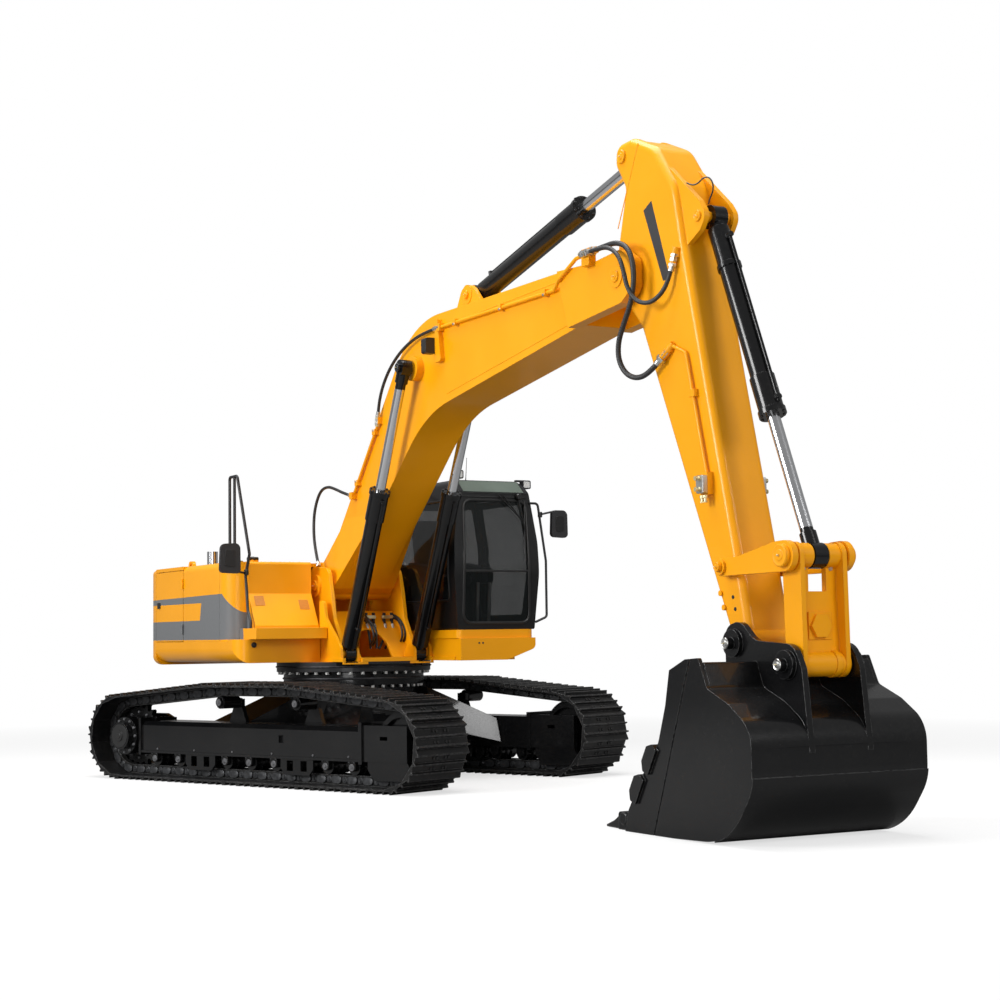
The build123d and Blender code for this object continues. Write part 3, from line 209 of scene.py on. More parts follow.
def paint(name, colour, rough, coat, dirt, bevel=0.006):
    """Sprayed paint: slight cloudiness, dust in patches, fine ripple."""
    finish = Finish(name, Coat_Roughness=0.06, Specular_IOR_Level=0.25, Coat_Weight=coat)
    cloud = finish.noise(1.7, 3.0)
    specks = finish.noise(38.0, 6.0, 0.65)
    dust = (cloud * specks).ramp(0.20, 0.42) * dirt
    base = finish.mix(cloud.ramp(0.3, 0.7), rgb(colour, 0.93), rgb(colour))
    dusty = [0.75 * part + 0.25 * soil for part, soil in zip(colour, (0.33, 0.30, 0.26))]
    finish.feed(Base_Color=finish.mix(dust, base, rgb(dusty)))
    finish.feed(Roughness=rough + 0.16 * specks + 0.15 * dust)
    finish.relief(finish.noise(140.0, 2.0), 0.0004, bevel)
    return finish


def settings():
    return bpy.context.scene.excavator


def dress(names, finish):
    """Give CAD nodes a material in every slot."""
    for name in names:
        data = NODES[name].data
        data.materials.clear()
        data.materials.append(finish.material)


# ------------------------------------------------------------------ shapes
def surface(name, grids, body, finish):
    """Closed skin over each grid of points (copies, rings, spokes, 3): neighbours on a
    ring and on the next ring make quads, and the end rings are flat faces."""
    grids = np.asarray(grids, float)
    if grids.ndim == 3:
        grids = grids[None]
    copies, rings, spokes, _ = grids.shape
    first = np.arange(copies)[:, None, None] * rings * spokes
    ring = first + np.arange(rings - 1)[None, :, None] * spokes
    here = np.arange(spokes)[None, None, :]
    after = (here + 1) % spokes
    quads = np.stack([ring + here, ring + after, ring + spokes + after, ring + spokes + here], -1)
    start = first[:, 0] + np.arange(spokes)[None, ::-1]
    end = first[:, 0] + (rings - 1) * spokes + np.arange(spokes)[None, :]
    faces = quads.reshape(-1, 4).tolist() + start.tolist() + end.tolist()
    mesh = bpy.data.meshes.new(name)
    mesh.from_pydata(grids.reshape(-1, 3).tolist(), [], faces)
    return piece(name, mesh, body, finish)


def piece(name, mesh, body, finish):
    """Put a mesh in the scene with its finish, smooth over its shallow edges."""
    mesh.materials.append(finish.material)
    mesh.shade_smooth()
    mesh.set_sharp_from_angle(angle=SMOOTH_BELOW)
    made = bpy.data.objects.new(name, mesh)
    bpy.context.scene.collection.objects.link(made)
    if body:
        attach(made, body)
    return made


def square_to(ways):
    """Two unit directions square to each way, right-handed with it."""
    ways = ways / np.linalg.norm(ways, axis=-1, keepdims=True)
    upright = np.abs(ways[..., 2:]) > 0.9
    helper = np.where(upright, [1.0, 0.0, 0.0], [0.0, 0.0, 1.0])
    first = np.cross(helper, ways)
    first = first / np.linalg.norm(first, axis=-1, keepdims=True)
    return first, np.cross(ways, first), ways


def turned(rows, places, ways, spokes=20, corners=0):
    """Grids of one turned form at each place: ring radius r at distance d along its
    way. With corners the ring is a polygon: r / cos(angle off the side's middle)."""
    places = np.atleast_2d(np.asarray(places, float))
    ways = np.broadcast_to(np.asarray(ways, float), places.shape)
    first, second, ways = square_to(ways)
    angle = np.arange(spokes) * 2 * np.pi / spokes
    shape = np.ones(spokes)
    if corners:
        side = 2 * np.pi / corners
        shape = 1.0 / np.cos(angle % side - side / 2)
    along, radius = np.asarray(rows, float).T
    ring = np.cos(angle)[:, None] * first[:, None] + np.sin(angle)[:, None] * second[:, None]
    ring = ring * shape[:, None]
    grid = places[:, None, None] + along[:, None, None] * ways[:, None, None]
    return grid + radius[:, None, None] * ring[:, None]


def hex_bolts(places, ways, flat, height):
    """Bolt heads on washers: a low disc, then a hexagon with a chamfered top."""
    washer = turned(
        [(-0.3 * height, flat * 1.25), (0.16 * height, flat * 1.25), (0.2 * height, flat * 1.2)],
        places, ways, 12,
    )
    head = turned(
        [(0.1 * height, flat), (0.85 * height, flat), (height, flat * 0.82)],
        places, ways, 12, 6,
    )
    return np.concatenate([washer, head])


def swept(route, outline, sizes=None, side=(0.0, 1.0, 0.0)):
    """Grid of an outline (a, b) carried along a route: point + a * first + b * second,
    where first is square to the route and to side."""
    route = np.asarray(route, float)
    outline = np.asarray(outline, float)
    tangent = np.gradient(route, axis=0)
    tangent = tangent / np.linalg.norm(tangent, axis=1, keepdims=True)
    first = np.cross(np.asarray(side, float), tangent)
    first = first / np.linalg.norm(first, axis=1, keepdims=True)
    second = np.cross(tangent, first)
    sizes = np.ones(len(route)) if sizes is None else np.asarray(sizes, float)
    sizes = sizes[:, None, None]
    a, b = outline[:, 0, None], outline[:, 1, None]
    return route[:, None] + sizes * (a * first[:, None] + b * second[:, None])


def circle(radius, spokes=14, flat=1.0):
    """Points of a circle, counter-clockwise; flat squeezes it across."""
    angle = np.arange(spokes) * 2 * np.pi / spokes
    return radius * np.stack([np.cos(angle), np.sin(angle)], 1) * [1.0, flat]


def line_of(x, y, z):
    """Points whose three coordinates are each an array or one number."""
    return np.stack(np.broadcast_arrays(x, y, z), 1)


def bars(name, routes, outline, finish, side=(1, 0, 0), body="upper"):
    """One piece made of an outline carried along each route."""
    grids = [swept(route, outline, side=side) for route in routes]
    return surface(name, np.stack(grids), body, finish)


def soft(values, power):
    """sign(v)|v|^power, which squares up a round form."""
    return np.sign(values) * np.abs(values) ** power


def rounded(points, radius, steps=5):
    """Closed outline with each corner cut by a quadratic bend of about the radius:
    (1-t)^2 a + 2t(1-t) corner + t^2 b."""
    points = np.asarray(points, float)
    before = np.roll(points, 1, 0) - points
    after = np.roll(points, -1, 0) - points
    a = points + before / np.linalg.norm(before, axis=1, keepdims=True) * radius
    b = points + after / np.linalg.norm(after, axis=1, keepdims=True) * radius
    t = np.linspace(0, 1, steps)[None, :, None]
    bend = (1 - t) ** 2 * a[:, None] + 2 * t * (1 - t) * points[:, None] + t**2 * b[:, None]
    return bend.reshape(-1, points.shape[1])


def ring_sweep(route, outline, side):
    """Grid of an outline carried round a closed route, as swept does, with its ends
    met on one ring."""
    route = np.asarray(route, float)
    around = np.concatenate([route[-2:], route, route[:3]])
    grid = swept(around, outline, side=side)[2:-2]
    grid[-1] = grid[0]
    return grid


def face(wide, tall, corner):
    """Outline of a rectangle from its half width and half height, corners rounded."""
    return rounded([(-wide, -tall), (wide, -tall), (wide, tall), (-wide, tall)], corner)


def sheet_plate(outline, thickness, origin, first=(0, 1, 0), second=(0, 0, 1), edge=0.15):
    """Grid of a flat plate: an outline along two directions, pushed out square to both
    by the thickness, its far edge eased by a share of the thickness."""
    outline = np.asarray(outline, float)
    first, second = np.asarray(first, float), np.asarray(second, float)
    middle = outline.mean(0)
    eased = 1.0 - edge * thickness / np.abs(outline - middle).max()
    rings = []
    for share, scale in ((0.0, 1.0), (1.0 - edge, 1.0), (1.0, eased)):
        flat = middle + (outline - middle) * scale
        ring = origin + flat[:, :1] * first + flat[:, 1:] * second
        rings.append(ring + np.cross(first, second) * thickness * share)
    return np.stack(rings)


def slewed(points):
    """Points turned with the undercarriage about the slewing axis."""
    turn = math.radians(UNDER_TURN)
    cos, sin = math.cos(turn), math.sin(turn)
    return np.asarray(points, float) @ np.array([[cos, sin, 0], [-sin, cos, 0], [0, 0, 1]])


def both_sides(points):
    """Points and their mirror images across the machine's middle plane."""
    points = np.atleast_2d(np.asarray(points, float))
    return np.concatenate([points, points * FLIP])


# ------------------------------------------------------------------ properties
class ExcavatorSettings(bpy.types.PropertyGroup):
    paint_colour: bpy.props.FloatVectorProperty(
        name="Body paint",
        description="Colour of the house, boom and arm",
        subtype="COLOR",
        size=3,
        min=0.0,
        max=1.0,
        default=(0.90, 0.365, 0.0003),
    )
    frame_colour: bpy.props.FloatVectorProperty(
        name="Frame paint",
        description="Colour of the undercarriage, cylinders and bucket",
        subtype="COLOR",
        size=3,
        min=0.0,
        max=1.0,
        default=(0.0040, 0.0042, 0.0047),
    )
    lens: bpy.props.FloatProperty(
        name="Lens", description="Focal length", default=67.36, unit="CAMERA"
    )


# ------------------------------------------------------------------ studio
class EXCAVATOR_OT_studio(bpy.types.Operator):
    """Camera, lamps, floor and backdrop"""

    bl_idname = "excavator.studio"
    bl_label = "Studio"

    def execute(self, context):
        camera_at_viewpoint(settings().lens)
        pale_floor()
        lamps()
        world()
        return {"FINISHED"}


def camera_at_viewpoint(lens):
    """Camera from its place and its yaw, pitch and roll about the line of sight."""
    yaw, pitch, roll = (math.radians(a) for a in (150.729, 4.180, -0.770))
    forward = Vector(
        (math.cos(pitch) * math.cos(yaw), math.cos(pitch) * math.sin(yaw), math.sin(pitch))
    )
    level = Vector((math.sin(yaw), -math.cos(yaw), 0.0))
    upright = level.cross(forward)
    right = math.cos(roll) * level + math.sin(roll) * upright
    up = math.cos(roll) * upright - math.sin(roll) * level
    data = bpy.data.cameras.new("viewpoint")
    data.lens = lens
    data.sensor_width = 36.0
    data.clip_end = 500.0
    camera = bpy.data.objects.new("viewpoint", data)
    rows = Matrix((right, up, -forward)).transposed().to_4x4()
    place = (18.7721, -8.6544, 1.4914)
    camera.matrix_world = Matrix.Translation(place) @ rows
    bpy.context.scene.collection.objects.link(camera)
    bpy.context.scene.camera = camera


def seen_directly(finish):
    """1 for rays that show the background itself or through glass."""
    path = finish.node("ShaderNodeLightPath", {})
    eye = Level(finish, path.outputs["Is Camera Ray"])
    clear = Level(finish, path.outputs["Is Transmission Ray"])
    return eye.largest(clear)


def pale_floor():
    """Flat pale floor; part of what the eye sees of it is plain white, and beyond the
    machine all of it."""
    mesh = bpy.data.meshes.new("floor")
    half, level = 90.0, -0.002
    corners = [(-half, -half), (half, -half), (half, half), (-half, half)]
    mesh.from_pydata([(x, y, level) for x, y in corners], [], [(0, 1, 2, 3)])
    floor = bpy.data.objects.new("floor", mesh)
    bpy.context.scene.collection.objects.link(floor)
    finish = Finish("floor_white", Roughness=0.9, Specular_IOR_Level=0.0)
    cloud = finish.noise(0.4, 2.0)
    plain = finish.mix(cloud, (0.90, 0.90, 0.90, 1), (0.92, 0.92, 0.92, 1))
    finish.feed(Base_Color=finish.mix(seen_directly(finish), (0.28, 0.28, 0.28, 1), plain))
    glow = finish.node("ShaderNodeEmission", {}, Strength=1.0)
    x, y, _ = finish.axes()
    away = (x * x + y * y).root()
    near, far, least = 7.0, 15.0, 0.62
    share = seen_directly(finish) * (least + (1.0 - least) * away.ramp(near, far))
    blend = finish.node(
        "ShaderNodeMixShader", {}, share, finish.shader.outputs[0], glow.outputs[0]
    )
    finish.put(finish.out.inputs["Surface"], blend.outputs[0])
    mesh.materials.append(finish.material)


def lamps():
    """Soft boxes: one overhead, one each side of the viewpoint and one low by it."""
    rows = [
        # name, place, aim, size, watts
        ("overhead", (3.0, -1.0, 14.0), (2.0, 0.0, 1.0), 10.0, 1900.0),
        ("left_box", (2.0, -17.0, 8.0), (2.0, 0.0, 2.0), 7.0, 2600.0),
        ("right_box", (20.0, 4.0, 9.0), (4.0, 0.0, 2.0), 5.0, 900.0),
        ("low_front", (15.0, -10.0, 2.5), (4.0, 0.0, 1.5), 5.0, 300.0),
    ]
    for name, place, aim, size, watts in rows:
        data = bpy.data.lights.new(name, "AREA")
        data.size = size
        data.energy = watts
        lamp = bpy.data.objects.new(name, data)
        lamp.location = place
        way = Vector(aim) - Vector(place)
        lamp.rotation_euler = way.to_track_quat("-Z", "Y").to_euler()
        bpy.context.scene.collection.objects.link(lamp)


def world():
    """White background for the eye, softer grey light on the machine."""
    ambient = 0.30
    made = bpy.data.worlds.new("studio")
    made.use_nodes = True
    bpy.context.scene.world = made
    tree = made.node_tree
    tree.nodes.clear()
    path = tree.nodes.new("ShaderNodeLightPath")
    clear = tree.nodes.new("ShaderNodeMath")
    clear.operation = "MAXIMUM"
    tree.links.new(path.outputs["Is Camera Ray"], clear.inputs[0])
    tree.links.new(path.outputs["Is Transmission Ray"], clear.inputs[1])
    level = tree.nodes.new("ShaderNodeMapRange")
    level.inputs["To Min"].default_value = ambient
    level.inputs["To Max"].default_value = 1.0
    tree.links.new(clear.outputs[0], level.inputs["Value"])
    back = tree.nodes.new("ShaderNodeBackground")
    out = tree.nodes.new("ShaderNodeOutputWorld")
    tree.links.new(level.outputs[0], back.inputs["Strength"])
    back.inputs["Color"].default_value = (1.0, 1.0, 1.0, 1.0)
    tree.links.new(back.outputs[0], out.inputs["Surface"])
    bpy.context.scene.view_settings.view_transform = "Standard"


# ------------------------------------------------------------------ hoses
TOWER_HOSE = [
    (0.020, 0.420, 2.292), (-0.075, 0.420, 2.480), (-0.125, 0.415, 2.700),
    (-0.120, 0.402, 2.920), (-0.020, 0.380, 3.110), (0.130, 0.355, 3.150),
    (0.270, 0.325, 3.110), (0.400, 0.295, 3.060), (0.584, 0.283, 3.016),
]
CRANK_HOSE = [
    (1.277, 0.290, 3.797), (1.320, 0.300, 3.930), (1.440, 0.305, 4.110),
    (1.620, 0.305, 4.270), (1.850, 0.305, 4.390), (2.100, 0.300, 4.470),
    (2.370, 0.290, 4.512), (2.594, 0.282, 4.519),
]
LONG_HOSE = [
    (5.601, 0.350, 4.715), (5.790, 0.350, 4.722), (5.980, 0.352, 4.720),
    (6.150, 0.356, 4.650), (6.235, 0.360, 4.500), (6.240, 0.360, 4.330),
    (6.180, 0.360, 4.160), (6.075, 0.358, 4.025), (5.980, 0.354, 3.886),
    (5.965, 0.343, 3.737), (6.047, 0.322, 3.611), (6.189, 0.298, 3.562),
    (6.332, 0.272, 3.606), (6.450, 0.246, 3.697),
]
SHORT_HOSE = [
    (5.601, 0.404, 4.700), (5.780, 0.404, 4.700), (5.950, 0.406, 4.680),
    (6.090, 0.408, 4.590), (6.160, 0.406, 4.450), (6.190, 0.396, 4.300),
    (6.270, 0.365, 4.180), (6.400, 0.325, 4.140), (6.520, 0.285, 4.200),
    (6.590, 0.255, 4.320), (6.619, 0.243, 4.428),
]
GREASE_LINE = [
    (6.709, -0.148, 5.077), (6.760, -0.138, 5.045), (6.830, -0.125, 5.048),
    (6.880, -0.112, 5.085), (6.940, -0.098, 5.080), (6.970, -0.080, 5.025),
    (6.940, -0.062, 4.965), (6.888, -0.058, 4.920), (6.870, -0.058, 4.880),
]
HOSES = [
    # name, route, radius, from body, to body, where it starts and ends to bend
    ("tower_hose", TOWER_HOSE, 0.016, "upper", "boom_body", (0.0, 0, 2.45), (0.0, 0, 3.05)),
    ("crank_hose", CRANK_HOSE, 0.016, "boom_body", None, None, None),
    ("long_arm_hose", LONG_HOSE, 0.023, "boom_body", "arm_body", (6.0, 0, 4.6), (6.2, 0, 3.65)),
    ("short_arm_hose", SHORT_HOSE, 0.019, "boom_body", "arm_body", (5.95, 0, 4.6), (6.5, 0, 4.2)),
]


def smooth_line(route):
    """Points of the smooth line that a route's points pull on, from a NURBS curve."""
    curve = bpy.data.curves.new("line", "CURVE")
    curve.dimensions = "3D"
    curve.resolution_u = 10
    spline = curve.splines.new("NURBS")
    spline.points.add(len(route) - 1)
    spline.points.foreach_set("co", [c for point in route for c in (*point, 1.0)])
    spline.order_u = 3
    spline.use_endpoint_u = True
    holder = bpy.data.objects.new("line", curve)
    bpy.context.scene.collection.objects.link(holder)
    mesh = bpy.data.meshes.new_from_object(holder)
    line = np.array([vertex.co for vertex in mesh.vertices])
    bpy.data.objects.remove(holder)
    bpy.data.meshes.remove(mesh)
    return line


def ferrules(name, line, radius, body, finish):
    """Crimped sleeve and hexagon nut at one end of a hose."""
    way = line[1] - line[0]
    rows = [(-0.01, 1.0), (0.0, 1.28), (0.3, 1.34), (0.6, 1.24), (0.9, 1.34), (1.2, 1.24)]
    rows += [(1.5, 1.34), (1.8, 1.3), (1.9, 1.02)]
    size = 1.6 * radius
    sleeve = turned([(size * d, radius * r) for d, r in rows], line[0], way, 18)
    rows = [(-0.01, 1.5 * radius), (0.0, 1.62 * radius)]
    rows += [(0.8 * radius, 1.62 * radius), (0.9 * radius, 1.5 * radius)]
    nut = turned(rows, line[0], way, 18, 6)
    surface(name, sleeve, body, finish)
    surface(name + "_nut", nut, body, finish)


class EXCAVATOR_OT_hoses(bpy.types.Operator):
    """Hydraulic hoses of the boom and the arm, each between its two fittings"""

    bl_idname = "excavator.hoses"
    bl_label = "Hoses"

    def execute(self, context):
        rubber = hose_rubber()
        silver = zinc()
        for name, route, radius, start, end, bend_from, bend_to in HOSES:
            stands_for = "arm_hoses" if "arm" in name else "boom_hoses"
            for side, mark in ((1, "left"), (-1, "right")):
                line = smooth_line([(x, side * y, z) for x, y, z in route])
                grid = self.skin(line, radius, ribbed="arm" in name)
                made = surface(f"{name}_{mark}", grid, None if end else start, rubber)
                ferrules(f"{name}_{mark}_start", line, radius, start, silver)
                ferrules(f"{name}_{mark}_end", line[::-1], radius, end or start, silver)
                if end:
                    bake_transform(made)
                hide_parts(stands_for)
        line = smooth_line(GREASE_LINE)
        grid = swept(line, circle(0.006, 10), side=(0.3, 0.95, 0.1))
        made = surface("grease_line", grid, "arm_body", rubber)
        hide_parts("arm_hoses")
        return {"FINISHED"}

    def skin(self, line, radius, ribbed):
        """Tube along a line; a ribbed one wears a spiral guard, whose turns stand out
        as a rounded wave: radius * (1 - 0.07 * (0.5 + 0.5 cos(2 pi run / turn)))."""
        if not ribbed:
            return swept(line, circle(radius, 16))
        step, turn = 0.0042, 0.021
        run = np.concatenate([[0.0], np.cumsum(np.linalg.norm(np.diff(line, axis=0), axis=1))])
        at = np.linspace(0.0, run[-1], int(run[-1] / step))
        dense = np.stack([np.interp(at, run, part) for part in line.T], 1)
        wave = 0.5 + 0.5 * np.cos(2 * np.pi * at / turn)
        return swept(dense, circle(radius, 16), sizes=1.0 - 0.07 * wave)


def hose_rubber():
    """Black rubber with a fine cloth-marked cover and a dusty bloom."""
    finish = Finish("hose_rubber")
    weave = finish.noise(420.0, 2.0)
    bloom = finish.noise(6.0, 4.0)
    base = finish.mix(bloom, (0.010, 0.010, 0.011, 1), (0.026, 0.026, 0.027, 1))
    finish.feed(Base_Color=base)
    finish.feed(Roughness=0.38 + 0.2 * bloom)
    finish.relief(weave, 0.0005)
    return finish


# ------------------------------------------------------------------ undercarriage
CHAIN_WHEELS = np.array(
    [(2.020, 0.462, 0.367), (0.577, 0.838, 0.118), (-0.577, 0.838, 0.118), (-2.020, 0.462, 0.367)]
)
SHOES = 48
ROLLERS_X = (-1.590, -1.205, -0.825, -0.455, -0.085, 0.290, 0.665, 1.040, 1.410)


def chain_stations(shift, out):
    """Places and outward ways on the left chain, one a shoe: the pitch line is arcs
    round the wheels joined by tangents; shift is in shoes and out is outward."""
    gap = np.roll(CHAIN_WHEELS, -1, 0) - CHAIN_WHEELS
    flat = np.hypot(gap[:, 0], gap[:, 1])
    leave = np.arctan2(gap[:, 1], gap[:, 0]) - np.pi / 2 - np.arcsin(gap[:, 2] / flat)
    arrive = np.roll(leave, 1)
    angle = arrive[:, None] + ((leave - arrive) % (2 * np.pi))[:, None] * np.linspace(0, 1, 90)
    way = np.stack([np.cos(angle), np.sin(angle)], -1)
    line = (CHAIN_WHEELS[:, None, :2] + CHAIN_WHEELS[:, None, 2:] * way).reshape(-1, 2)
    way = way.reshape(-1, 2)
    line, way = np.concatenate([line, line[:1]]), np.concatenate([way, way[:1]])
    run = np.concatenate([[0.0], np.cumsum(np.linalg.norm(np.diff(line, axis=0), axis=1))])
    at = (np.arange(SHOES) + shift) % SHOES * run[-1] / SHOES
    x, z, nx, nz = [np.interp(at, run, values) for values in (*line.T, *way.T)]
    size = np.hypot(nx, nz)
    nx, nz = nx / size, nz / size
    zero = np.zeros(SHOES)
    return np.stack([x + out * nx, zero, z + out * nz], 1), np.stack([nx, zero, nz], 1)


def both_tracks(places, ways):
    """Left-track places and ways in the undercarriage's frame, for both tracks."""
    ways = np.broadcast_to(ways, np.shape(places))
    return slewed(both_sides(places)), slewed(both_sides(ways))


class EXCAVATOR_OT_track_details(bpy.types.Operator):
    """Shoe bolts, chain links and pins, roller ends and final drive bolts"""

    bl_idname = "excavator.track_details"
    bl_label = "Track details"

    def execute(self, context):
        steel = worn_steel("link_steel", (0.035, 0.036, 0.038))
        dark = plastic("bolt_black", (0.006, 0.006, 0.006), 0.5, 200.0)
        middle = GAUGE / 2
        row, shoe_face, hole_floor = 0.2125, 0.067, 0.0665
        places, ways = [], []
        for shift in (-row, row):
            base, way = chain_stations(shift, shoe_face)
            for y in (-0.105, -0.060, 0.060, 0.105):
                places.append(base + (middle + y) * SIDE)
                ways.append(way)
        where, way = both_tracks(np.concatenate(places), np.concatenate(ways))
        head = turned([(-0.002, 0.017), (0.010, 0.017), (0.013, 0.014)], where, way, 6)
        surface("shoe_bolts", head, "undercarriage", dark)
        base, way = chain_stations(row, hole_floor)
        where, way = both_tracks(base + middle * SIDE, way)
        hole = turned([(-0.004, 0.030), (0.0014, 0.030), (0.0016, 0.028)], where, way, 12)
        surface("shoe_holes", hole, "undercarriage", dark)
        self.links(steel, middle)
        self.drives(dark, middle)
        return {"FINISHED"}

    def links(self, steel, middle):
        """Pins through the chain's rails, the bosses round them and the links: each a
        superellipse plate, 0.070 soft(cos) by 0.040 sin, eased on its outer face."""
        base, _ = chain_stations(0.5, 0.0)
        where, way = both_tracks(base + middle * SIDE, SIDE)
        for name, half, radius in (("chain_pins", 0.131, 0.020), ("chain_bosses", 0.124, 0.036)):
            rows = [(-half, 0.8 * radius), (0.006 - half, radius)]
            rows += [(half - 0.006, radius), (half, 0.8 * radius)]
            surface(name, turned(rows, where, way, 14), "undercarriage", steel)
        base, out = chain_stations(0.0, 0.0)
        along = np.cross(SIDE, out)
        t = np.linspace(0, 2 * np.pi, 18, endpoint=False)
        a, b = 0.070 * soft(np.cos(t), 0.6), 0.040 * np.sin(t)
        plate = a[:, None] * along[:, None] + b[:, None] * out[:, None]
        scale = np.array([1.0, 1.0, 0.93])[:, None, None]
        grids = []
        for rail in (-0.1235, 0.1235):
            y = middle + rail + np.array([-0.007, 0.004, 0.007])
            left = base[:, None, None] + plate[:, None] * scale + y[:, None, None] * SIDE
            grids += [left, (left * FLIP)[:, :, ::-1]]
        grid = slewed(np.concatenate(grids))
        surface("chain_links", grid, "undercarriage", steel)

    def drives(self, dark, middle):
        """Final drive covers, roller ends and frame bolts."""
        bright = worn_steel("bolt_steel", (0.10, 0.10, 0.105))
        angle = np.arange(12) * np.pi / 6
        ring = line_of(np.cos(angle), 0.0, np.sin(angle))
        drive_x, drive_z, _ = CHAIN_WHEELS[-1]
        hub = np.array([drive_x, middle, drive_z])
        where = [hub + 0.180 * ring + 0.235 * SIDE, hub + 0.252 * ring + 0.030 * SIDE]
        drive_bolts = hex_bolts(*both_tracks(np.concatenate(where), SIDE), 0.013, 0.014)
        rows = [(-0.004, 0.128), (0.0, 0.130), (0.006, 0.126), (0.006, 0.060)]
        rows += [(0.016, 0.056), (0.016, 0.030), (0.022, 0.026)]
        caps = turned(rows, *both_tracks([hub + 0.305 * SIDE], SIDE), 32)
        ends = [(x, middle + 0.169, 0.225) for x in ROLLERS_X]
        ends += [(x, middle + 0.145, 0.838) for x in (-0.577, 0.577)]
        rows = [(-0.004, 0.036), (0.0, 0.037), (0.004, 0.034)]
        rows += [(0.004, 0.016), (0.010, 0.015), (0.013, 0.012)]
        roller_ends = turned(rows, *both_tracks(ends, SIDE), 16)
        bolts = [(x + dx, middle + 0.169, 0.279) for x in ROLLERS_X for dx in (-0.036, 0.036)]
        bolts += [(x, middle + 0.200, 0.330) for x in (-1.5, -0.9, -0.3, 0.3, 0.9, 1.4)]
        frame_bolts = hex_bolts(*both_tracks(bolts, SIDE), 0.009, 0.009)
        for name, grid, finish in (
            ("drive_bolts", drive_bolts, bright), ("drive_caps", caps, dark),
            ("roller_ends", roller_ends, bright), ("frame_bolts", frame_bolts, bright),
        ):
            surface(name, grid, "undercarriage", finish)


class EXCAVATOR_OT_slewing_ring(bpy.types.Operator):
    """Two rings of bright bolts, a seal and a lip on the slewing ring"""

    bl_idname = "excavator.slewing_ring"
    bl_label = "Slewing ring"

    def execute(self, context):
        bright = zinc()
        angle = np.arange(40) * np.pi / 20
        for name, radius, z, body in (
            ("ring_bolts_upper", 0.808, 1.143, "upper"),
            ("ring_bolts_lower", 0.735, 1.000, "undercarriage"),
        ):
            where = line_of(radius * np.cos(angle), radius * np.sin(angle), z)
            surface(name, hex_bolts(where, (0, 0, -1), 0.018, 0.030), body, bright)
        t = np.linspace(0, 2 * np.pi, 97)
        for name, radius, z, body, half in (
            ("ring_seal", 0.842, 1.196, "upper", 0.010),
            ("ring_lip", 0.766, 1.070, "undercarriage", 0.012),
        ):
            route = line_of(radius * np.cos(t), radius * np.sin(t), z)
            grid = ring_sweep(route, circle(half, 8), (0.0, 0.0, 1.0))
            surface(name, grid, body, worn_steel(name, (0.03, 0.03, 0.032)))
        return {"FINISHED"}


# ------------------------------------------------------------------ cab
def cab_front(z):
    """x of the cab's bowed front at a height."""
    return np.interp(z, [1.50, 2.25, 3.015, 3.165], [1.400, 1.430, 1.380, 1.215])


def cab_flank(z, side):
    """y of the cab's bowed right (-1) or left (1) flank at a height."""
    right = np.interp(z, [1.57, 2.15, 2.50, 3.165], [0.558, 0.512, 0.520, 0.605])
    left = np.interp(z, [1.57, 2.15, 2.50, 3.165], [1.485, 1.538, 1.530, 1.425])
    return left if side > 0 else right


def window_seal(name, outline, radius, place, body, half, finish):
    """Rubber seal round a window: a flattened round swept along its closed edge."""
    step = 0.06
    edge = rounded(outline, radius, 7)
    steps = np.concatenate([edge, edge[:1]])
    count = np.maximum(1, (np.linalg.norm(np.diff(steps, axis=0), axis=1) / step).astype(int))
    dense = np.concatenate([
        np.linspace(steps[i], steps[i + 1], count[i], endpoint=False) for i in range(len(count))
    ])
    route = place(dense)
    route = np.concatenate([route, route[:1]])
    side = np.cross(route[len(route) // 3] - route[0], route[len(route) // 2] - route[0])
    side = side / np.linalg.norm(side)
    grid = ring_sweep(route, circle(half, 10, 0.6), side)
    return surface(name, grid, body, finish)


def on_front(edge):
    """Outline points (y, z) laid on the cab's front."""
    y, z = edge.T
    return line_of(cab_front(z) + 0.001, y, z)


def on_right(edge):
    """Outline points (x, z) laid on the cab's right flank."""
    x, z = edge.T
    return line_of(x, cab_flank(z, -1), z)


def on_left(edge):
    """Outline points (x, z) laid on the cab's left flank."""
    x, z = edge.T
    return line_of(x, cab_flank(z, 1), z)


SEALS = [
    # name, window outline, corner radius, where it lies, body, half width
    ("windscreen_seal", [(0.62, 1.64), (1.42, 1.64), (1.405, 2.945), (0.64, 2.945)], 0.11,
     on_front, "upper", 0.016),
    ("side_seal", [(-0.33, 1.88), (1.27, 1.88), (1.27, 2.95), (-0.33, 2.95)], 0.06,
     on_right, "upper", 0.012),
    ("rear_side_seal", [(-0.33, 1.90), (0.15, 1.90), (0.15, 2.95), (-0.33, 2.95)], 0.06,
     on_left, "upper", 0.012),
    ("door_seal", [(0.30, 1.72), (1.18, 1.72), (1.222, 2.25), (1.185, 2.93), (0.30, 2.93)], 0.06,
     on_left, "cab_door_leaf", 0.012),
]


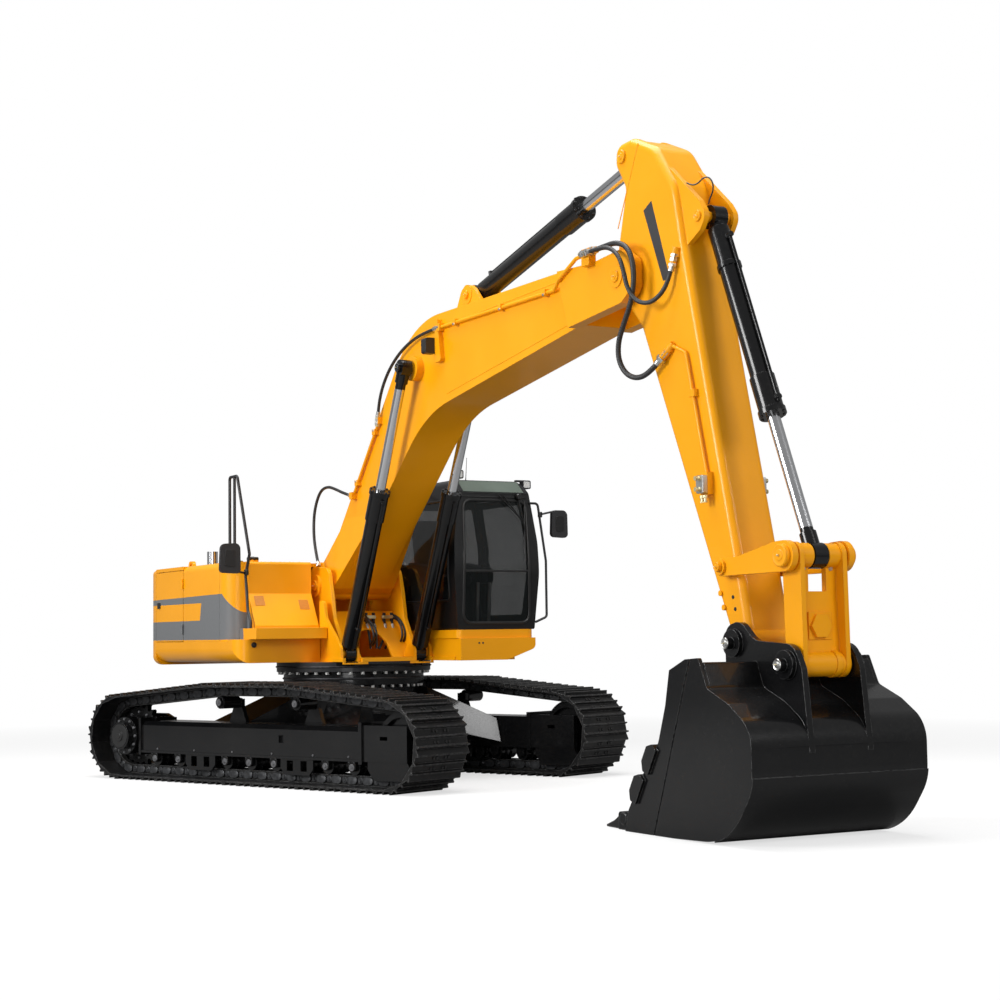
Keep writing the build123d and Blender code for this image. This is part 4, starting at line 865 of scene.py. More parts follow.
class EXCAVATOR_OT_cab_trim(bpy.types.Operator):
    """Window seals, wiper, visor, levers, monitor, lenses and mirrors of the cab"""

    bl_idname = "excavator.cab_trim"
    bl_label = "Cab trim"

    def execute(self, context):
        rubber = plastic("seal_rubber", (0.004, 0.004, 0.004), 0.35, 150.0)
        silver = zinc()
        for seal in SEALS:
            window_seal(*seal, rubber)
        line = line_of(cab_front(2.19) - 0.004, np.linspace(0.635, 1.41, 20), 2.19)
        bars("windscreen_bar", [line], circle(0.012, 12, 0.6), rubber)
        self.wiper(rubber)
        self.visor(rubber)
        self.controls(silver, rubber)
        self.lamps_and_mirrors(rubber)
        return {"FINISHED"}

    def wiper(self, rubber):
        """Motor, three thin arms and a blade parked by the left post."""
        rows = [(-0.01, 0.03), (0.0, 0.034), (0.03, 0.034), (0.04, 0.026)]
        motor = turned(rows, (1.405, 1.30, 2.985), (1, 0, 0), 16)
        surface("wiper_motor", motor, "upper", rubber)
        arms = np.array([
            # y and z at the motor, y and z at the blade
            (1.06, 3.00, 1.345, 2.72), (1.12, 3.00, 1.355, 2.70), (1.30, 2.985, 1.372, 2.62),
        ])
        t = np.linspace(0, 1, 14)[:, None]
        bow = 0.022 + 0.010 * np.sin(np.pi * t[:, 0])
        lines = []
        for arm in arms:
            y, z = (arm[:2] + (arm[2:] - arm[:2]) * t).T
            lines.append(line_of(cab_front(z) + bow, y, z))
        bars("wiper_arms", lines, circle(0.006, 8), rubber)
        z = np.linspace(2.95, 2.30, 24)
        blade = line_of(cab_front(z) + 0.012, 1.376 - 0.01 * np.cos((z - 2.3) * 4), z)
        bars("wiper_blade", [blade], circle(0.009, 8, 0.6), rubber)

    def visor(self, rubber):
        """Tinted strip over the windscreen, trim lines, rain gutters, mast, roof ribs."""
        glass = tinted_glass("visor_glass", (0.10, 0.125, 0.105), 0.80)
        (low_x, low_z), (high_x, high_z) = (1.373, 3.030), (1.226, 3.154)
        right, left = 0.655, 1.385
        t = np.linspace(0, 1, 9)
        rings = []
        for push in (0.001, 0.006):
            x = low_x + (high_x - low_x) * t + push * 0.77
            z = low_z + (high_z - low_z) * t + push * 0.64
            rings.append(np.concatenate([line_of(x, right, z), line_of(x, left, z)[::-1]]))
        surface("visor", np.stack(rings), "upper", glass)
        y = np.linspace(0.62, 1.41, 12)
        for name, z in (("trim_low", 2.978), ("trim_high", 3.018)):
            bars(name, [line_of(cab_front(z) + 0.002, y, z)], circle(0.009, 10, 0.7), rubber)
        x, z = np.linspace(-0.42, 1.16, 24), 3.085
        for side, name in ((-1, "gutter_right"), (1, "gutter_left")):
            line = line_of(x, cab_flank(z, side) - side * 0.012, z)
            bars(name, [line], circle(0.013, 10, 0.7), rubber, SIDE)
        rows = [(0.0, 0.02), (0.012, 0.018), (0.02, 0.006)]
        rows += [(0.05, 0.004), (0.25, 0.0025), (0.26, 0.004)]
        mast = turned(rows, (1.10, 0.83, 3.155), (0.12, 0, 1), 10)
        surface("antenna", mast, "upper", rubber)
        x = np.linspace(-0.38, 1.12, 12)
        ribs = [line_of(x, y, 3.164) for y in (0.70, 0.84, 1.24, 1.36)]
        bars("roof_ribs", ribs, circle(0.012, 8, 0.6), rubber, SIDE)

    def controls(self, silver, rubber):
        """Bright travel levers with black grips, joysticks and a monitor."""
        stalk = [(0.0, 0.034), (0.012, 0.034), (0.02, 0.019), (0.50, 0.017), (0.512, 0.013)]
        grip = [(0.44, 0.018), (0.45, 0.023), (0.50, 0.025), (0.56, 0.021), (0.575, 0.010)]
        for name, y in (("travel_lever_right", 0.94), ("travel_lever_left", 1.08)):
            foot, way = (1.120, y, 1.64), (0.040, 0.0, 0.510)
            surface(name, turned(stalk, foot, way, 16), "upper", silver)
            surface(name + "_grip", turned(grip, foot, way, 16), "upper", rubber)
        stick = [(0.0, 0.075), (0.02, 0.070), (0.04, 0.052), (0.06, 0.055), (0.08, 0.038)]
        stick += [(0.10, 0.030), (0.16, 0.030), (0.20, 0.036), (0.25, 0.032), (0.265, 0.016)]
        for name, y in (("joystick_right", 0.69), ("joystick_left", 1.33)):
            grid = turned(stick, (0.60, y, 2.23), (0.02, 0.0, 0.20), 20)
            surface(name, grid, "upper", rubber)
        grid = sheet_plate(face(0.13, 0.09, 0.02), 0.05, (1.13, 0.70, 2.13), SIDE, (0.15, 0, 1))
        surface("monitor", grid, "upper", rubber)

    def lamps_and_mirrors(self, rubber):
        """Ribbed lenses in the lamps' recesses, the mirrors' glass and their ribbed backs."""
        lens, silver = lamp_lens(), mirror_glass()
        for name, place, wide, tall, corner, thick, way, body, finish, slot in (
            ("lens_right", (1.196, 0.700, 3.228), 0.038, 0.034, 0.010, 0.010, 1,
             "upper", lens, "lamp_black"),
            ("lens_left", (1.246, 1.500, 3.134), 0.038, 0.034, 0.010, 0.010, 1,
             "upper", lens, "lamp_black"),
            ("lens_boom", (2.5115, -0.333, 4.3475), 0.050, 0.060, 0.012, 0.008, -1,
             "boom_body", lens, "lamp_black"),
            ("mirror_glass_right", (0.1925, -1.522, 2.353), 0.096, 0.135, 0.035, 0.004, -1,
             "upper", silver, "rod_chrome"),
            ("mirror_glass_left", (1.3855, 1.805, 2.703), 0.080, 0.125, 0.035, 0.004, -1,
             "upper", silver, "rod_chrome"),
            ("mirror_rib_right", (0.2345, -1.522, 2.353), 0.060, 0.090, 0.030, 0.006, 1,
             "upper", rubber, "lamp_black"),
            ("mirror_rib_left", (1.4315, 1.805, 2.703), 0.050, 0.085, 0.030, 0.006, 1,
             "upper", rubber, "lamp_black"),
        ):
            grid = sheet_plate(face(wide, tall, corner), thick, place, (0, way, 0))
            surface(name, grid, body, finish)
        rows = [(-0.03, 0.020), (-0.024, 0.025), (0.024, 0.025), (0.03, 0.020)]
        clamp = turned(rows, [(1.400, 1.575, 2.800), (0.170, -1.318, 2.205)], (0, 0, 1), 16)
        surface("mirror_clamps", clamp, "upper", rubber)


class EXCAVATOR_OT_seat(bpy.types.Operator):
    """Operator's seat: crowned cushion and back with sewn channels"""

    bl_idname = "excavator.seat"
    bl_label = "Seat"

    def execute(self, context):
        cloth = seat_cloth()
        rows = [
            # name, centre, half sizes, lean in degrees
            ("seat_cushion", (0.262, 1.010, 2.125), (0.245, 0.240, 0.062), 0.0),
            ("seat_back", (-0.050, 1.010, 2.505), (0.065, 0.232, 0.310), -11.0),
        ]
        for name, centre, halves, lean in rows:
            made = surface(name, self.cushion(centre, halves, lean), "upper", cloth)
            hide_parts("operator_seat")
        return {"FINISHED"}

    def cushion(self, centre, halves, lean):
        """Superellipsoid with soft corners: each half size times soft(c, 0.35) of the
        two angles' cosines and sines, soft(c, 0.55) through the thickness, its broad
        faces crowned and pressed in along two sewn channels."""
        u = np.linspace(-np.pi / 2 + 0.02, np.pi / 2 - 0.02, 40)[:, None]
        v = np.linspace(0, 2 * np.pi, 72, endpoint=False)[None]

        thin = int(np.argmin(halves))
        wide = [axis for axis in range(3) if axis != thin]
        unit = np.zeros((40, 72, 3))
        unit[..., wide[0]] = soft(np.cos(u), 0.35) * soft(np.cos(v), 0.35)
        unit[..., wide[1]] = soft(np.cos(u), 0.35) * soft(np.sin(v), 0.35)
        unit[..., thin] = soft(np.sin(u), 0.55) * np.ones_like(v)
        crown = 1.0 - 0.22 * (unit[..., wide[0]] ** 2 + unit[..., wide[1]] ** 2) / 2
        channel = 1.0 - 0.16 * np.exp(-(((np.abs(unit[..., 1]) - 0.5) / 0.05) ** 2))
        unit[..., thin] = unit[..., thin] * crown * channel
        shape = unit * halves
        turn = math.radians(lean)
        x = shape[..., 0] * math.cos(turn) + shape[..., 2] * math.sin(turn)
        z = -shape[..., 0] * math.sin(turn) + shape[..., 2] * math.cos(turn)
        return np.stack([x, shape[..., 1], z], -1) + centre


# ------------------------------------------------------------------ working equipment
PIN_ENDS = [
    # pin, y of its end, radius, body
    ("boom_foot", 0.475, 0.060, "upper"),
    ("boom_rod", 0.492, 0.048, "boom_rods"),
    ("arm", 0.345, 0.050, "boom_body"),
    ("arm_barrel", 0.165, 0.045, "boom_body"),
    ("bucket_barrel", 0.175, 0.045, "arm_body"),
    ("arm_rod", 0.217, 0.060, "arm_body"),
    ("tipping_links", 0.330, 0.038, "arm_body"),
    ("bucket_rod", 0.318, 0.085, "tipping_pair"),
    ("bucket", 0.380, 0.045, "bucket_body"),
    ("bucket_link", 0.380, 0.045, "bucket_body"),
]


class EXCAVATOR_OT_pins(bpy.types.Operator):
    """Pin ends with their grease nipples"""

    bl_idname = "excavator.pins"
    bl_label = "Pin ends"

    def execute(self, context):
        brass = passivated()
        # the boom rods' pin caps take the bucket's finish, its painted edge highlight included
        worn = {"bucket_body": zinc(), "boom_rods": paint_of("bucket")}
        # distance along the pin, then the part of the pin's radius
        cap = [(-0.004, 0.97), (0.002, 0.96), (0.006, 0.88), (0.003, 0.74)]
        cap += [(0.003, 0.5), (0.008, 0.44), (0.009, 0.34)]
        nipple = [(0.006, 0.10), (0.016, 0.10), (0.018, 0.06), (0.026, 0.08), (0.030, 0.04)]
        for body in sorted({row[3] for row in PIN_ENDS}):
            caps, nipples = [], []
            for pin, y, radius, owner in PIN_ENDS:
                if owner != body:
                    continue
                x, z = PINS[pin]
                ends = both_sides((x, y, z)), both_sides(SIDE)
                caps.append(turned([(d, radius * r) for d, r in cap], *ends, 24))
                nipples.append(turned([(d, radius * r) for d, r in nipple], *ends, 10))
            finish = worn.get(body, paint_of("boom"))
            surface("pin_caps_" + body, np.concatenate(caps), body, finish)
            surface("nipples_" + body, np.concatenate(nipples), body, brass)
        return {"FINISHED"}


def paint_of(node):
    """The finish that a node of the frame already wears."""
    held = Finish.__new__(Finish)
    held.material = NODES[node].data.materials[0]
    return held


class EXCAVATOR_OT_equipment_trim(bpy.types.Operator):
    """Weld beads, bolts, valve blocks and unions of the boom, arm, link and cylinders"""

    bl_idname = "excavator.equipment_trim"
    bl_label = "Equipment trim"

    def execute(self, context):
        steel, brass = zinc(), passivated()
        dark = plastic("plug_black", (0.006, 0.006, 0.006), 0.5, 200.0)
        self.welds()
        self.valves(steel, brass)
        bolts = [(3.0, 4.50), (3.9, 4.50), (4.7, 4.50), (1.18, 3.655), (0.74, 3.157)]
        where = both_sides([(x, -0.300, z) for x, z in bolts])
        way = both_sides([-SIDE] * len(bolts))
        surface("clamp_bolts", hex_bolts(where, way, 0.011, 0.010), "boom_body", steel)
        self.pipe_unions(steel, brass)
        where = both_sides([(7.279, -0.205, 1.767), (7.304, -0.205, 1.676)])
        rows = [(-0.01, 0.016), (0.001, 0.016), (0.003, 0.014)]
        plugs = turned(rows, where, both_sides([-SIDE, -SIDE]), 14)
        surface("arm_plugs", plugs, "arm_body", dark)
        bolts = hex_bolts([(8.028, y, 1.955) for y in (-0.125, 0.125)], (1, 0, 0), 0.014, 0.012)
        surface("link_bolts", bolts, "h_link", steel)
        self.cylinder_bolts(steel, dark)
        return {"FINISHED"}

    def welds(self):
        """Weld beads along the boom's side plates and across the arm's, finely rippled."""
        amber = paint_of("boom")
        bead, ripple = circle(0.006, 8, 0.6), 0.0008
        lines = []
        for y in (-0.250, 0.250):
            for (x0, z0), (x1, z1) in (((2.35, 4.52), (5.15, 4.60)), ((2.75, 3.86), (5.20, 4.21))):
                x = np.linspace(x0, x1, 160)
                lines.append(line_of(x, y, np.linspace(z0, z1, 160) + ripple * np.sin(x * 260)))
        bars("boom_welds", lines, bead, amber, SIDE, "boom_body")
        x = np.linspace(6.107, 5.781, 60)
        z = 4.884 + (x - 5.781) * 2.006 + ripple * np.sin(x * 900)
        lines = [line_of(x, y, z) for y in (-0.205, 0.205)]
        bars("arm_welds", lines, bead, amber, SIDE, "arm_body")

    def valves(self, steel, brass):
        """A valve block with four ports on each side of the arm."""
        rows = [(-0.01, 0.020), (0.012, 0.020), (0.014, 0.014)]
        rows += [(0.034, 0.014), (0.036, 0.018), (0.046, 0.018)]
        for side, mark in ((-1, "right"), (1, "left")):
            place = (7.012, side * 0.258, 2.640)
            grid = sheet_plate(face(0.045, 0.070, 0.010), 0.05, place, (-side, 0, 0))
            surface("arm_valve_" + mark, grid, "arm_body", steel)
            ports = [(7.012, side * 0.300, z) for z in (2.685, 2.600)]
            ports += [(x, side * 0.27, 2.545) for x in (6.998, 7.040)]
            ways = [(0, side, 0)] * 2 + [(0, 0, -1)] * 2
            grid = turned(rows, ports, ways, 12)
            surface("arm_valve_ports_" + mark, grid, "arm_body", brass)

    def pipe_unions(self, steel, brass):
        """Bright hexagon unions with brass collars where hoses and pipes are joined."""
        nut = [(-0.032, 0.024), (-0.030, 0.028), (-0.004, 0.028), (0.0, 0.024)]
        nut += [(0.004, 0.028), (0.030, 0.028), (0.032, 0.024)]
        collar = [(-0.052, 0.021), (-0.050, 0.025), (-0.028, 0.026)]
        collar += [(0.028, 0.026), (0.050, 0.025), (0.052, 0.021)]
        for hose, body in (
            (CRANK_HOSE[::-1], "boom_body"), (LONG_HOSE, "boom_body"), (SHORT_HOSE, "boom_body"),
            (CRANK_HOSE, "boom_body"), (LONG_HOSE[::-1], "arm_body"), (SHORT_HOSE[::-1], "arm_body"),
        ):
            way = np.subtract(hose[0], hose[1])
            way = way / np.linalg.norm(way)
            ends = both_sides(hose[0] + 0.056 * way), both_sides(way)
            mark = f"{body}_{int(hose[0][0] * 1000)}"
            surface(f"union_{mark}", turned(nut, *ends, 18, 6), body, steel)
            surface(f"union_collar_{mark}", turned(collar, *ends, 18), body, brass)

    def cylinder_bolts(self, steel, dark):
        """Gland bolts and screws of the four cylinders."""
        for name, foot, head, y, mouth, gland, body in (
            # name, its two pins, y, distance to the gland's mouth, gland radius, body
            ("boom_left", "boom_barrel", "boom_rod", 0.412, 1.851, 0.110, "boom_barrels"),
            ("boom_right", "boom_barrel", "boom_rod", -0.412, 1.851, 0.110, "boom_barrels"),
            ("arm", "arm_barrel", "arm_rod", 0.0, 1.991, 0.120, "arm_barrel"),
            ("bucket", "bucket_barrel", "bucket_rod", 0.0, 1.784, 0.108, "bucket_barrel"),
        ):
            foot, head = [np.array([PINS[pin][0], y, PINS[pin][1]]) for pin in (foot, head)]
            way = (head - foot) / np.linalg.norm(head - foot)
            first, second, _ = square_to(way)
            angle = np.arange(8) * np.pi / 4 + 0.3
            ring = np.cos(angle)[:, None] * first + np.sin(angle)[:, None] * second
            where = foot + way * mouth + ring * gland * 0.84
            grid = hex_bolts(where, way, 0.010, 0.010)
            surface(f"gland_bolts_{name}", grid, body, dark)
            where = foot + way * (mouth - 0.20) + ring[:2] * (gland - 0.012)
            grid = hex_bolts(where, ring[:2], 0.009, 0.008)
            surface(f"gland_screws_{name}", grid, body, steel)


# ------------------------------------------------------------------ house
FEED_PIPE = [
    # x, y outwards, z, and how much of a pipe's lift goes into its y and its z
    (0.262, 0.058, 1.712, 0.0, 1.0), (0.330, 0.078, 1.706, 0.0, 0.6),
    (0.430, 0.070, 1.640, 1.0, 0.0), (0.490, 0.062, 1.560, 1.0, 0.0),
    (0.490, 0.060, 1.480, 1.0, 0.0), (0.400, 0.060, 1.420, 1.0, 0.0),
]


class EXCAVATOR_OT_house_fittings(bpy.types.Operator):
    """Latches, grab handles, caps, tread studs, painted recess shade and hoses of the house"""

    bl_idname = "excavator.house_fittings"
    bl_label = "House fittings"

    def execute(self, context):
        dark = plastic("latch_black", (0.006, 0.006, 0.006), 0.4, 200.0)
        steel, brass = zinc(), passivated()
        for name, x, side, body in (
            ("latch_pump_door", -2.13, -1, "pump_door_leaf"),
            ("latch_left_rear", -1.45, 1, "left_rear_leaf"),
            ("latch_left_front", -0.62, 1, "left_front_leaf"),
        ):
            outline, place = face(0.05, 0.035, 0.012), (x, side * 1.488, 1.90)
            grid = sheet_plate(outline, 0.010, place, (-side, 0, 0))
            surface(name, grid, body, dark)
        t = np.linspace(0, np.pi, 20)
        y, z = -0.62 + 0.10 * np.cos(t), 2.342 + 0.05 * np.sin(t)
        bows = [line_of(x, y, z) for x in (-2.02, -1.75)]
        bars("hood_handles", bows, circle(0.008, 8), dark, body="hood")
        rows = [(-0.01, 0.060), (0.0, 0.066), (0.022, 0.066)]
        rows += [(0.030, 0.058), (0.032, 0.02), (0.036, 0.018)]
        caps = turned(rows, [(-0.70, -0.90, 2.380), (-0.40, -1.20, 2.325)], (0, 0, 1), 24, 8)
        surface("filler_caps", caps, "upper", dark)
        self.treads()
        self.valves(dark, brass, steel)
        self.toolbox_trim(dark)
        rows = [(0.0, 0.060), (0.004, 0.064), (0.012, 0.064), (0.016, 0.060)]
        clamp = turned(rows, (-1.690, -1.000, 2.343), (0, 0, 1), 28)
        surface("exhaust_clamp", clamp, "upper", steel)
        return {"FINISHED"}

    def treads(self):
        """Staggered rows of raised studs on the tank's walked-on top, clear of its cap."""
        pitch, top = 0.055, 2.325
        x, y = np.meshgrid(np.arange(-0.62, 0.0, pitch), np.arange(-1.36, -0.62, pitch))
        x = x + pitch / 2 * (np.arange(x.shape[0]) % 2)[:, None]
        where = line_of(x.ravel(), y.ravel(), top)
        where = where[np.hypot(where[:, 0] + 0.40, where[:, 1] + 1.20) > 0.10]
        rows = [(-0.002, 0.014), (0.003, 0.012), (0.005, 0.006)]
        studs = turned(rows, where, (0, 0, 1), 8)
        surface("tread_studs", studs, "upper", paint_of("deck"))

    def valves(self, dark, brass, steel):
        """Two brass tee blocks on the front web, with hoses down into its opening and
        short pipes bent round and back into the web."""
        nut = [(-0.006, 0.018), (0.022, 0.018), (0.026, 0.014)]
        sleeve = [(0.0, 0.016), (0.004, 0.019), (0.055, 0.019), (0.06, 0.016)]
        t = np.linspace(0, 1, 26)
        x = 0.258 + 0.05 * np.sin(np.pi * t) + 0.10 * t**2
        z = 1.68 - 0.30 * t + 0.02 * t * (1 - t)
        for mark, y, out in (("right", 0.075, -1.0), ("left", 0.295, 1.0)):
            grid = sheet_plate(face(0.070, 0.018, 0.008), 0.045, (0.235, y, 1.725))
            surface("tee_block_" + mark, grid, "upper", brass)
            nuts = [(0.258, y + across, up) for up in (1.70, 1.746) for across in (-0.045, 0.045)]
            ways = [(0, 0, -1)] * 2 + [(0, 0, 1)] * 2
            surface("tee_nuts_" + mark, turned(nut, nuts, ways, 12, 6), "upper", dark)
            hoses = []
            for shift in (-0.045, 0.045):
                across = y + shift + ((0.075 - y) * 0.55 - shift * 0.2) * t**2
                hoses.append(line_of(x, across, z))
            sleeves = [turned(sleeve, hose[3], hose[4] - hose[3], 14) for hose in hoses]
            pipes = []
            for lift in (0.0, 0.034):
                bend = [(px, y + py * out + a * lift, pz + b * lift) for px, py, pz, a, b in FEED_PIPE]
                pipes.append(smooth_line(bend))
            bars("feed_pipes_" + mark, pipes, circle(0.013, 12), dark, SIDE)
            bars("tee_hoses_" + mark, hoses, circle(0.014, 12), dark, SIDE)
            surface("tee_sleeves_" + mark, np.concatenate(sleeves), "upper", steel)

    def toolbox_trim(self, dark):
        """Painted shade: two darker amber sheets on the toolbox's slope standing for its
        recesses; a bolt in the step, plugs in the apron.
        """
        slope = np.array([0.200, 0.0, -0.345])
        slope = slope / np.linalg.norm(slope)
        # painted shade: thin sheets of darkened body amber where the slope has recesses
        recess_shade = plastic("painted_recess_shade", (0.42, 0.15, 0.004), 0.45, 60.0)
        for name, y, along in (("painted_recess_shade_outer", -1.16, 0.09), ("painted_recess_shade_inner", -0.66, 0.14)):
            place = [0.100, y, 1.985] + slope * along
            grid = sheet_plate(face(0.055, 0.060, 0.008), 0.003, place, SIDE, -slope)
            surface(name, grid, "upper", recess_shade)
        rows = [(-0.004, 0.030), (0.002, 0.030), (0.004, 0.026), (0.004, 0.014), (0.010, 0.012)]
        bolt = turned(rows, (0.335, -1.30, 1.440), (1, 0, 0), 16)
        surface("step_bolt", bolt, "upper", dark)
        rows = [(-0.003, 0.011), (0.001, 0.011), (0.0015, 0.009)]
        plugs = turned(rows, [(1.4995, y, 1.43) for y in (0.755, 0.80)], (1, 0, 0), 12)
        surface("apron_plugs", plugs, "upper", dark)


# ------------------------------------------------------------------ finishes
YELLOW = [
    "engine_hood", "left_rear_door", "left_front_door", "cab_plinth", "boom",
    "tipping_links", "bucket_link",
]
STRIPED = ["counterweight", "tank", "toolbox", "house_frame", "pump_door"]
CHARCOAL = [
    "carbody", "track_frame_left", "track_frame_right", "sprockets", "idlers",
    "lower_rollers", "carrier_rollers", "boom_cylinder_barrels",
    "arm_cylinder_barrel", "bucket_cylinder_barrel",
]


class EXCAVATOR_OT_finishes(bpy.types.Operator):
    """Paint, steel, chrome, glass and cloth on the frame's own pieces"""

    bl_idname = "excavator.finishes"
    bl_label = "Finishes"

    def execute(self, context):
        dark, amber = settings().frame_colour, settings().paint_colour
        body_paint = (amber, 0.26, 0.12, 0.08)
        dress(YELLOW, paint("amber_paint", *body_paint))
        dress(STRIPED, side_stripe(paint("striped_amber_paint", *body_paint)))
        dress(["arm"], arm_stripe(paint("arm_amber_paint", *body_paint)))
        dress(["deck"], dark_ring(paint("deck_amber_paint", *body_paint)))
        dress(CHARCOAL, paint("charcoal_paint", dark, 0.14, 0.35, 0.06))
        shoes = wear_and_highlight_edges(paint("shoe_steel", dark, 0.30, 0.1, 0.20), 0.016)
        dress(["track_left", "track_right"], shoes)
        # painted highlight: the bucket's lighter edges stand for reflections on its chamfers
        dress(["bucket"], wear_and_highlight_edges(paint("bucket_paint_edge_highlights", dark, 0.16, 0.30, 0.05), 0.010))
        dress(["bucket_teeth"], wear_and_highlight_edges(paint("tooth_steel", dark, 0.30, 0.1, 0.10), 0.020))
        cab = paint("cab_paint", (0.006, 0.0063, 0.007), 0.25, 0.3, 0.05)
        dress(["cab_shell", "cab_door"], cab)
        rods = ["boom_cylinder_rods", "arm_cylinder_rod", "bucket_cylinder_rod"]
        dress(rods, painted_eyes(chrome(), dark))
        dress(["cab_glass", "cab_door_glass"], tinted_glass())
        dress(["operator_seat"], plastic("seat_foam", (0.02, 0.02, 0.023), 0.9, 300.0))
        moulding = plastic("moulding", (0.05, 0.05, 0.055), 0.6, 90.0)
        dress(["cab_controls", "engine_block"], moulding)
        black = plastic("black_fittings", (0.012, 0.012, 0.013), 0.4, 120.0)
        dress(["handrail", "cab_grab_rail", "cab_lamps", "boom_lamp"], black)
        dress(["exhaust_stub"], chrome())
        return {"FINISHED"}


def painted_eyes(finish, colour):
    """Dark paint on the rods' eyes, up to a collar's length from each head pin."""
    collar = 0.22
    x, _, z = finish.axes()
    shares = []
    for pin_x, pin_z in (PINS["boom_rod"], PINS["arm_rod"], PINS["bucket_rod"]):
        across, up = x - pin_x, z - pin_z
        shares.append(across * across + up * up < collar**2)
    eye = shares[0].largest(shares[1]).largest(shares[2])
    finish.over(eye, rgb(colour))
    finish.feed(Metallic=1.0 - eye)
    return finish


def dark_ring(finish):
    """Dark steel on the slewing ring under the deck."""
    radius = 0.93
    x, y, z = finish.axes()
    finish.over((z < RING_TOP) * (x * x + y * y < radius**2), (0.02, 0.02, 0.021, 1))
    return finish


def side_stripe(finish):
    """Grey band along the right side, rising a little to the front, where it ends in a
    parabola, and a band of the body colour in its rear part."""
    low, middle = 1.500, 1.80
    x, y, z = finish.axes()
    rise = (z - low).largest(0.0)
    inside = (z > low) * (z < 1.990 + 0.010 * x) * (x < 0.165 - 1.15 * (rise * rise)) * (y < -1.0)
    inner = (x < -0.757 + 0.226 * (z - middle)) * (z > 1.712) * (z < 1.902)
    finish.over(inside * (1.0 - inner), (0.155, 0.160, 0.165, 1))
    return finish


def arm_stripe(finish):
    """Dark upright flash with slanted edges on both side faces of the arm."""
    corner_x, corner_z = 6.166, 4.959
    x, y, z = finish.axes()
    rear = x > corner_x + (corner_z - z) * 0.420
    front = x < 6.285 + (5.019 - z) * 0.355
    height = (z > 4.33) * (z < corner_z + (x - corner_x) * 0.504)
    mask = rear * front * height * (y.size() > 0.19)
    finish.over(mask, (0.045, 0.045, 0.047, 1))
    return finish


def wear_and_highlight_edges(finish, width):
    """Bright grey metal along the edges, where a normal rounded over the width leaves
    the true one: bare worn steel on the track shoes and teeth, a painted highlight on
    the bucket's edges."""
    edge = finish.node("ShaderNodeBevel", {"samples": 4}, Radius=width)
    true = finish.node("ShaderNodeNewGeometry", {}).outputs["Normal"]
    dot = finish.node("ShaderNodeVectorMath", {"operation": "DOT_PRODUCT"}, edge.outputs[0], true)
    bent = 1.0 - Level(finish, dot.outputs["Value"])
    # edge share: worn steel on the shoes and teeth, painted highlight on the bucket
    worn = (bent.ramp(0.02, 0.16) * finish.noise(30.0, 4.0).ramp(0.35, 0.6)) * 0.7
    finish.over(worn, (0.20, 0.20, 0.20, 1))
    finish.feed(Metallic=worn)
    return finish


def mottled_metal(name, scale, low, high, rough, spread, metallic=1.0):
    """Metal whose colour and roughness follow one fine mottle."""
    finish = Finish(name, Metallic=metallic)
    mottle = finish.noise(scale, 3.0)
    finish.feed(Base_Color=finish.mix(mottle, rgb(low), rgb(high)))
    finish.feed(Roughness=rough + spread * mottle)
    return finish


def chrome():
    """Hard chrome with fine grinding marks."""
    return mottled_metal("chrome", 260.0, (0.62, 0.63, 0.65), (0.80, 0.81, 0.83), 0.12, 0.12)


def zinc():
    """Bright zinc plate."""
    return mottled_metal("zinc_plate", 90.0, (0.48, 0.48, 0.47), (0.68, 0.68, 0.66), 0.22, 0.2)


def passivated():
    """Yellow passivated zinc."""
    low, high = (0.62, 0.50, 0.24), (0.85, 0.78, 0.52)
    return mottled_metal("passivated_zinc", 60.0, low, high, 0.25, 0.2, 0.85)


def mirror_glass():
    """Silvered glass with a faint haze."""
    return mottled_metal("mirror_silver", 9.0, (0.72, 0.75, 0.76), (0.82, 0.84, 0.85), 0.02, 0.05)


def plastic(name, colour, rough, scale):
    """Moulded plastic or cloth with a fine even grain."""
    finish = Finish(name)
    grain = finish.noise(scale, 3.0)
    finish.feed(Base_Color=finish.mix(grain, rgb(colour), rgb(colour, 1.5)))
    finish.feed(Roughness=rough - 0.1 + 0.2 * grain)
    finish.relief(grain, 0.0006, 0.003)
    return finish


def tinted_glass(name="tinted_glass", colour=(0.006, 0.008, 0.008), alpha=0.50):
    """Thin tinted pane: part clear, part gloss, with faint smears."""
    finish = Finish(name, IOR=1.5, Specular_IOR_Level=0.6)
    smear = finish.noise(3.0, 4.0)
    finish.feed(Base_Color=finish.mix(smear, rgb(colour), rgb(colour, 1.5)))
    finish.feed(Roughness=0.02 + 0.06 * smear)
    finish.feed(Alpha=alpha + 0.10 * smear)
    return finish


def worn_steel(name, colour):
    """Forged steel with darker and brighter patches."""
    finish = Finish(name, Metallic=0.6)
    grime = finish.noise(24.0, 5.0, 0.6)
    finish.feed(Base_Color=finish.mix(grime.ramp(0.35, 0.7), rgb(colour), rgb(colour, 2.2)))
    finish.feed(Roughness=0.30 + 0.25 * grime)
    finish.relief(finish.noise(90.0, 3.0), 0.0008, 0.002)
    return finish


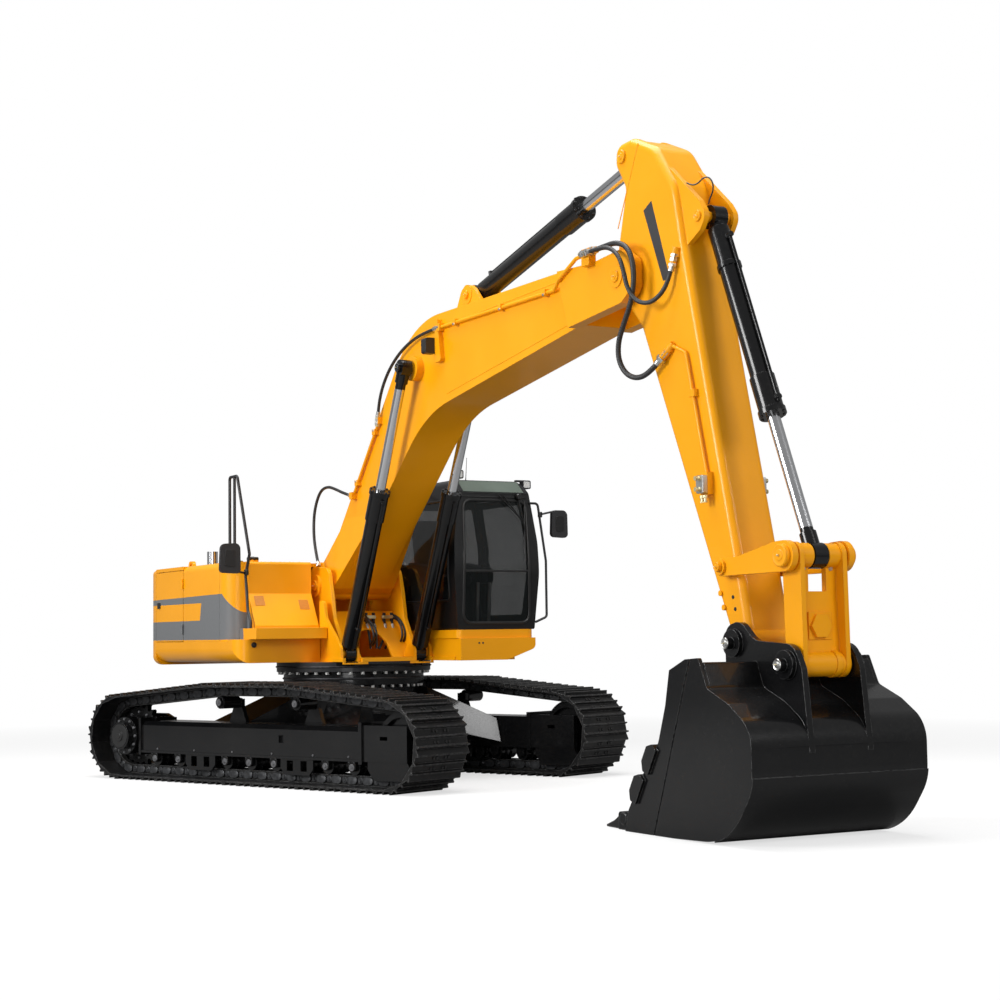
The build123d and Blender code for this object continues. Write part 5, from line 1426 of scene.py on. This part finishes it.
def lamp_lens():
    """Ribbed clear lens over a bright reflector."""
    finish = Finish("lamp_lens", Coat_Roughness=0.04, Coat_Weight=0.6)
    _, y, _ = finish.axes()
    ribs = (y * 420.0).sine()
    base = finish.mix(ribs.ramp(-1.0, 1.0), (0.58, 0.59, 0.58, 1), (0.86, 0.87, 0.85, 1))
    finish.feed(Base_Color=base)
    finish.feed(Roughness=0.16 + 0.08 * ribs.ramp(-1.0, 1.0))
    finish.relief(ribs, 0.0012)
    return finish


def seat_cloth():
    """Woven seat cloth: crossed threads over a mottled dark ground."""
    finish = Finish("seat_cloth", Sheen_Weight=0.3)
    x, y, z = finish.axes()
    threads = 1900.0
    weave = ((y * threads).sine() * ((x + z) * threads).sine()).ramp(-1.0, 1.0)
    mottle = finish.noise(14.0, 4.0)
    base = finish.mix(mottle, (0.020, 0.021, 0.024, 1), (0.045, 0.046, 0.052, 1))
    finish.feed(Base_Color=finish.mix(weave * 0.4, base, (0.09, 0.09, 0.10, 1)))
    finish.feed(Roughness=0.82 + 0.12 * weave)
    finish.relief(weave, 0.0009)
    return finish


# ------------------------------------------------------------------ panel
PIECES = (
    EXCAVATOR_OT_studio, EXCAVATOR_OT_hoses, EXCAVATOR_OT_finishes,
    EXCAVATOR_OT_track_details, EXCAVATOR_OT_slewing_ring, EXCAVATOR_OT_cab_trim,
    EXCAVATOR_OT_seat, EXCAVATOR_OT_pins, EXCAVATOR_OT_equipment_trim,
    EXCAVATOR_OT_house_fittings,
)


class EXCAVATOR_PT_pieces(bpy.types.Panel):
    bl_label = "Excavator"
    bl_idname = "EXCAVATOR_PT_pieces"
    bl_space_type = "VIEW_3D"
    bl_region_type = "UI"
    bl_category = "Excavator"

    def draw(self, context):
        for name in ExcavatorSettings.__annotations__:
            self.layout.prop(settings(), name)
        for operator in PIECES:
            self.layout.operator(operator.bl_idname)


CLASSES = (ExcavatorSettings, *PIECES, EXCAVATOR_PT_pieces)


def register():
    for made in CLASSES:
        bpy.utils.register_class(made)
    bpy.types.Scene.excavator = bpy.props.PointerProperty(type=ExcavatorSettings)


def unregister():
    del bpy.types.Scene.excavator
    for made in reversed(CLASSES):
        bpy.utils.unregister_class(made)


def main():
    register()
    for operator in PIECES:
        area, name = operator.bl_idname.split(".")
        getattr(getattr(bpy.ops, area), name)()


if __name__ == "__main__":
    main()
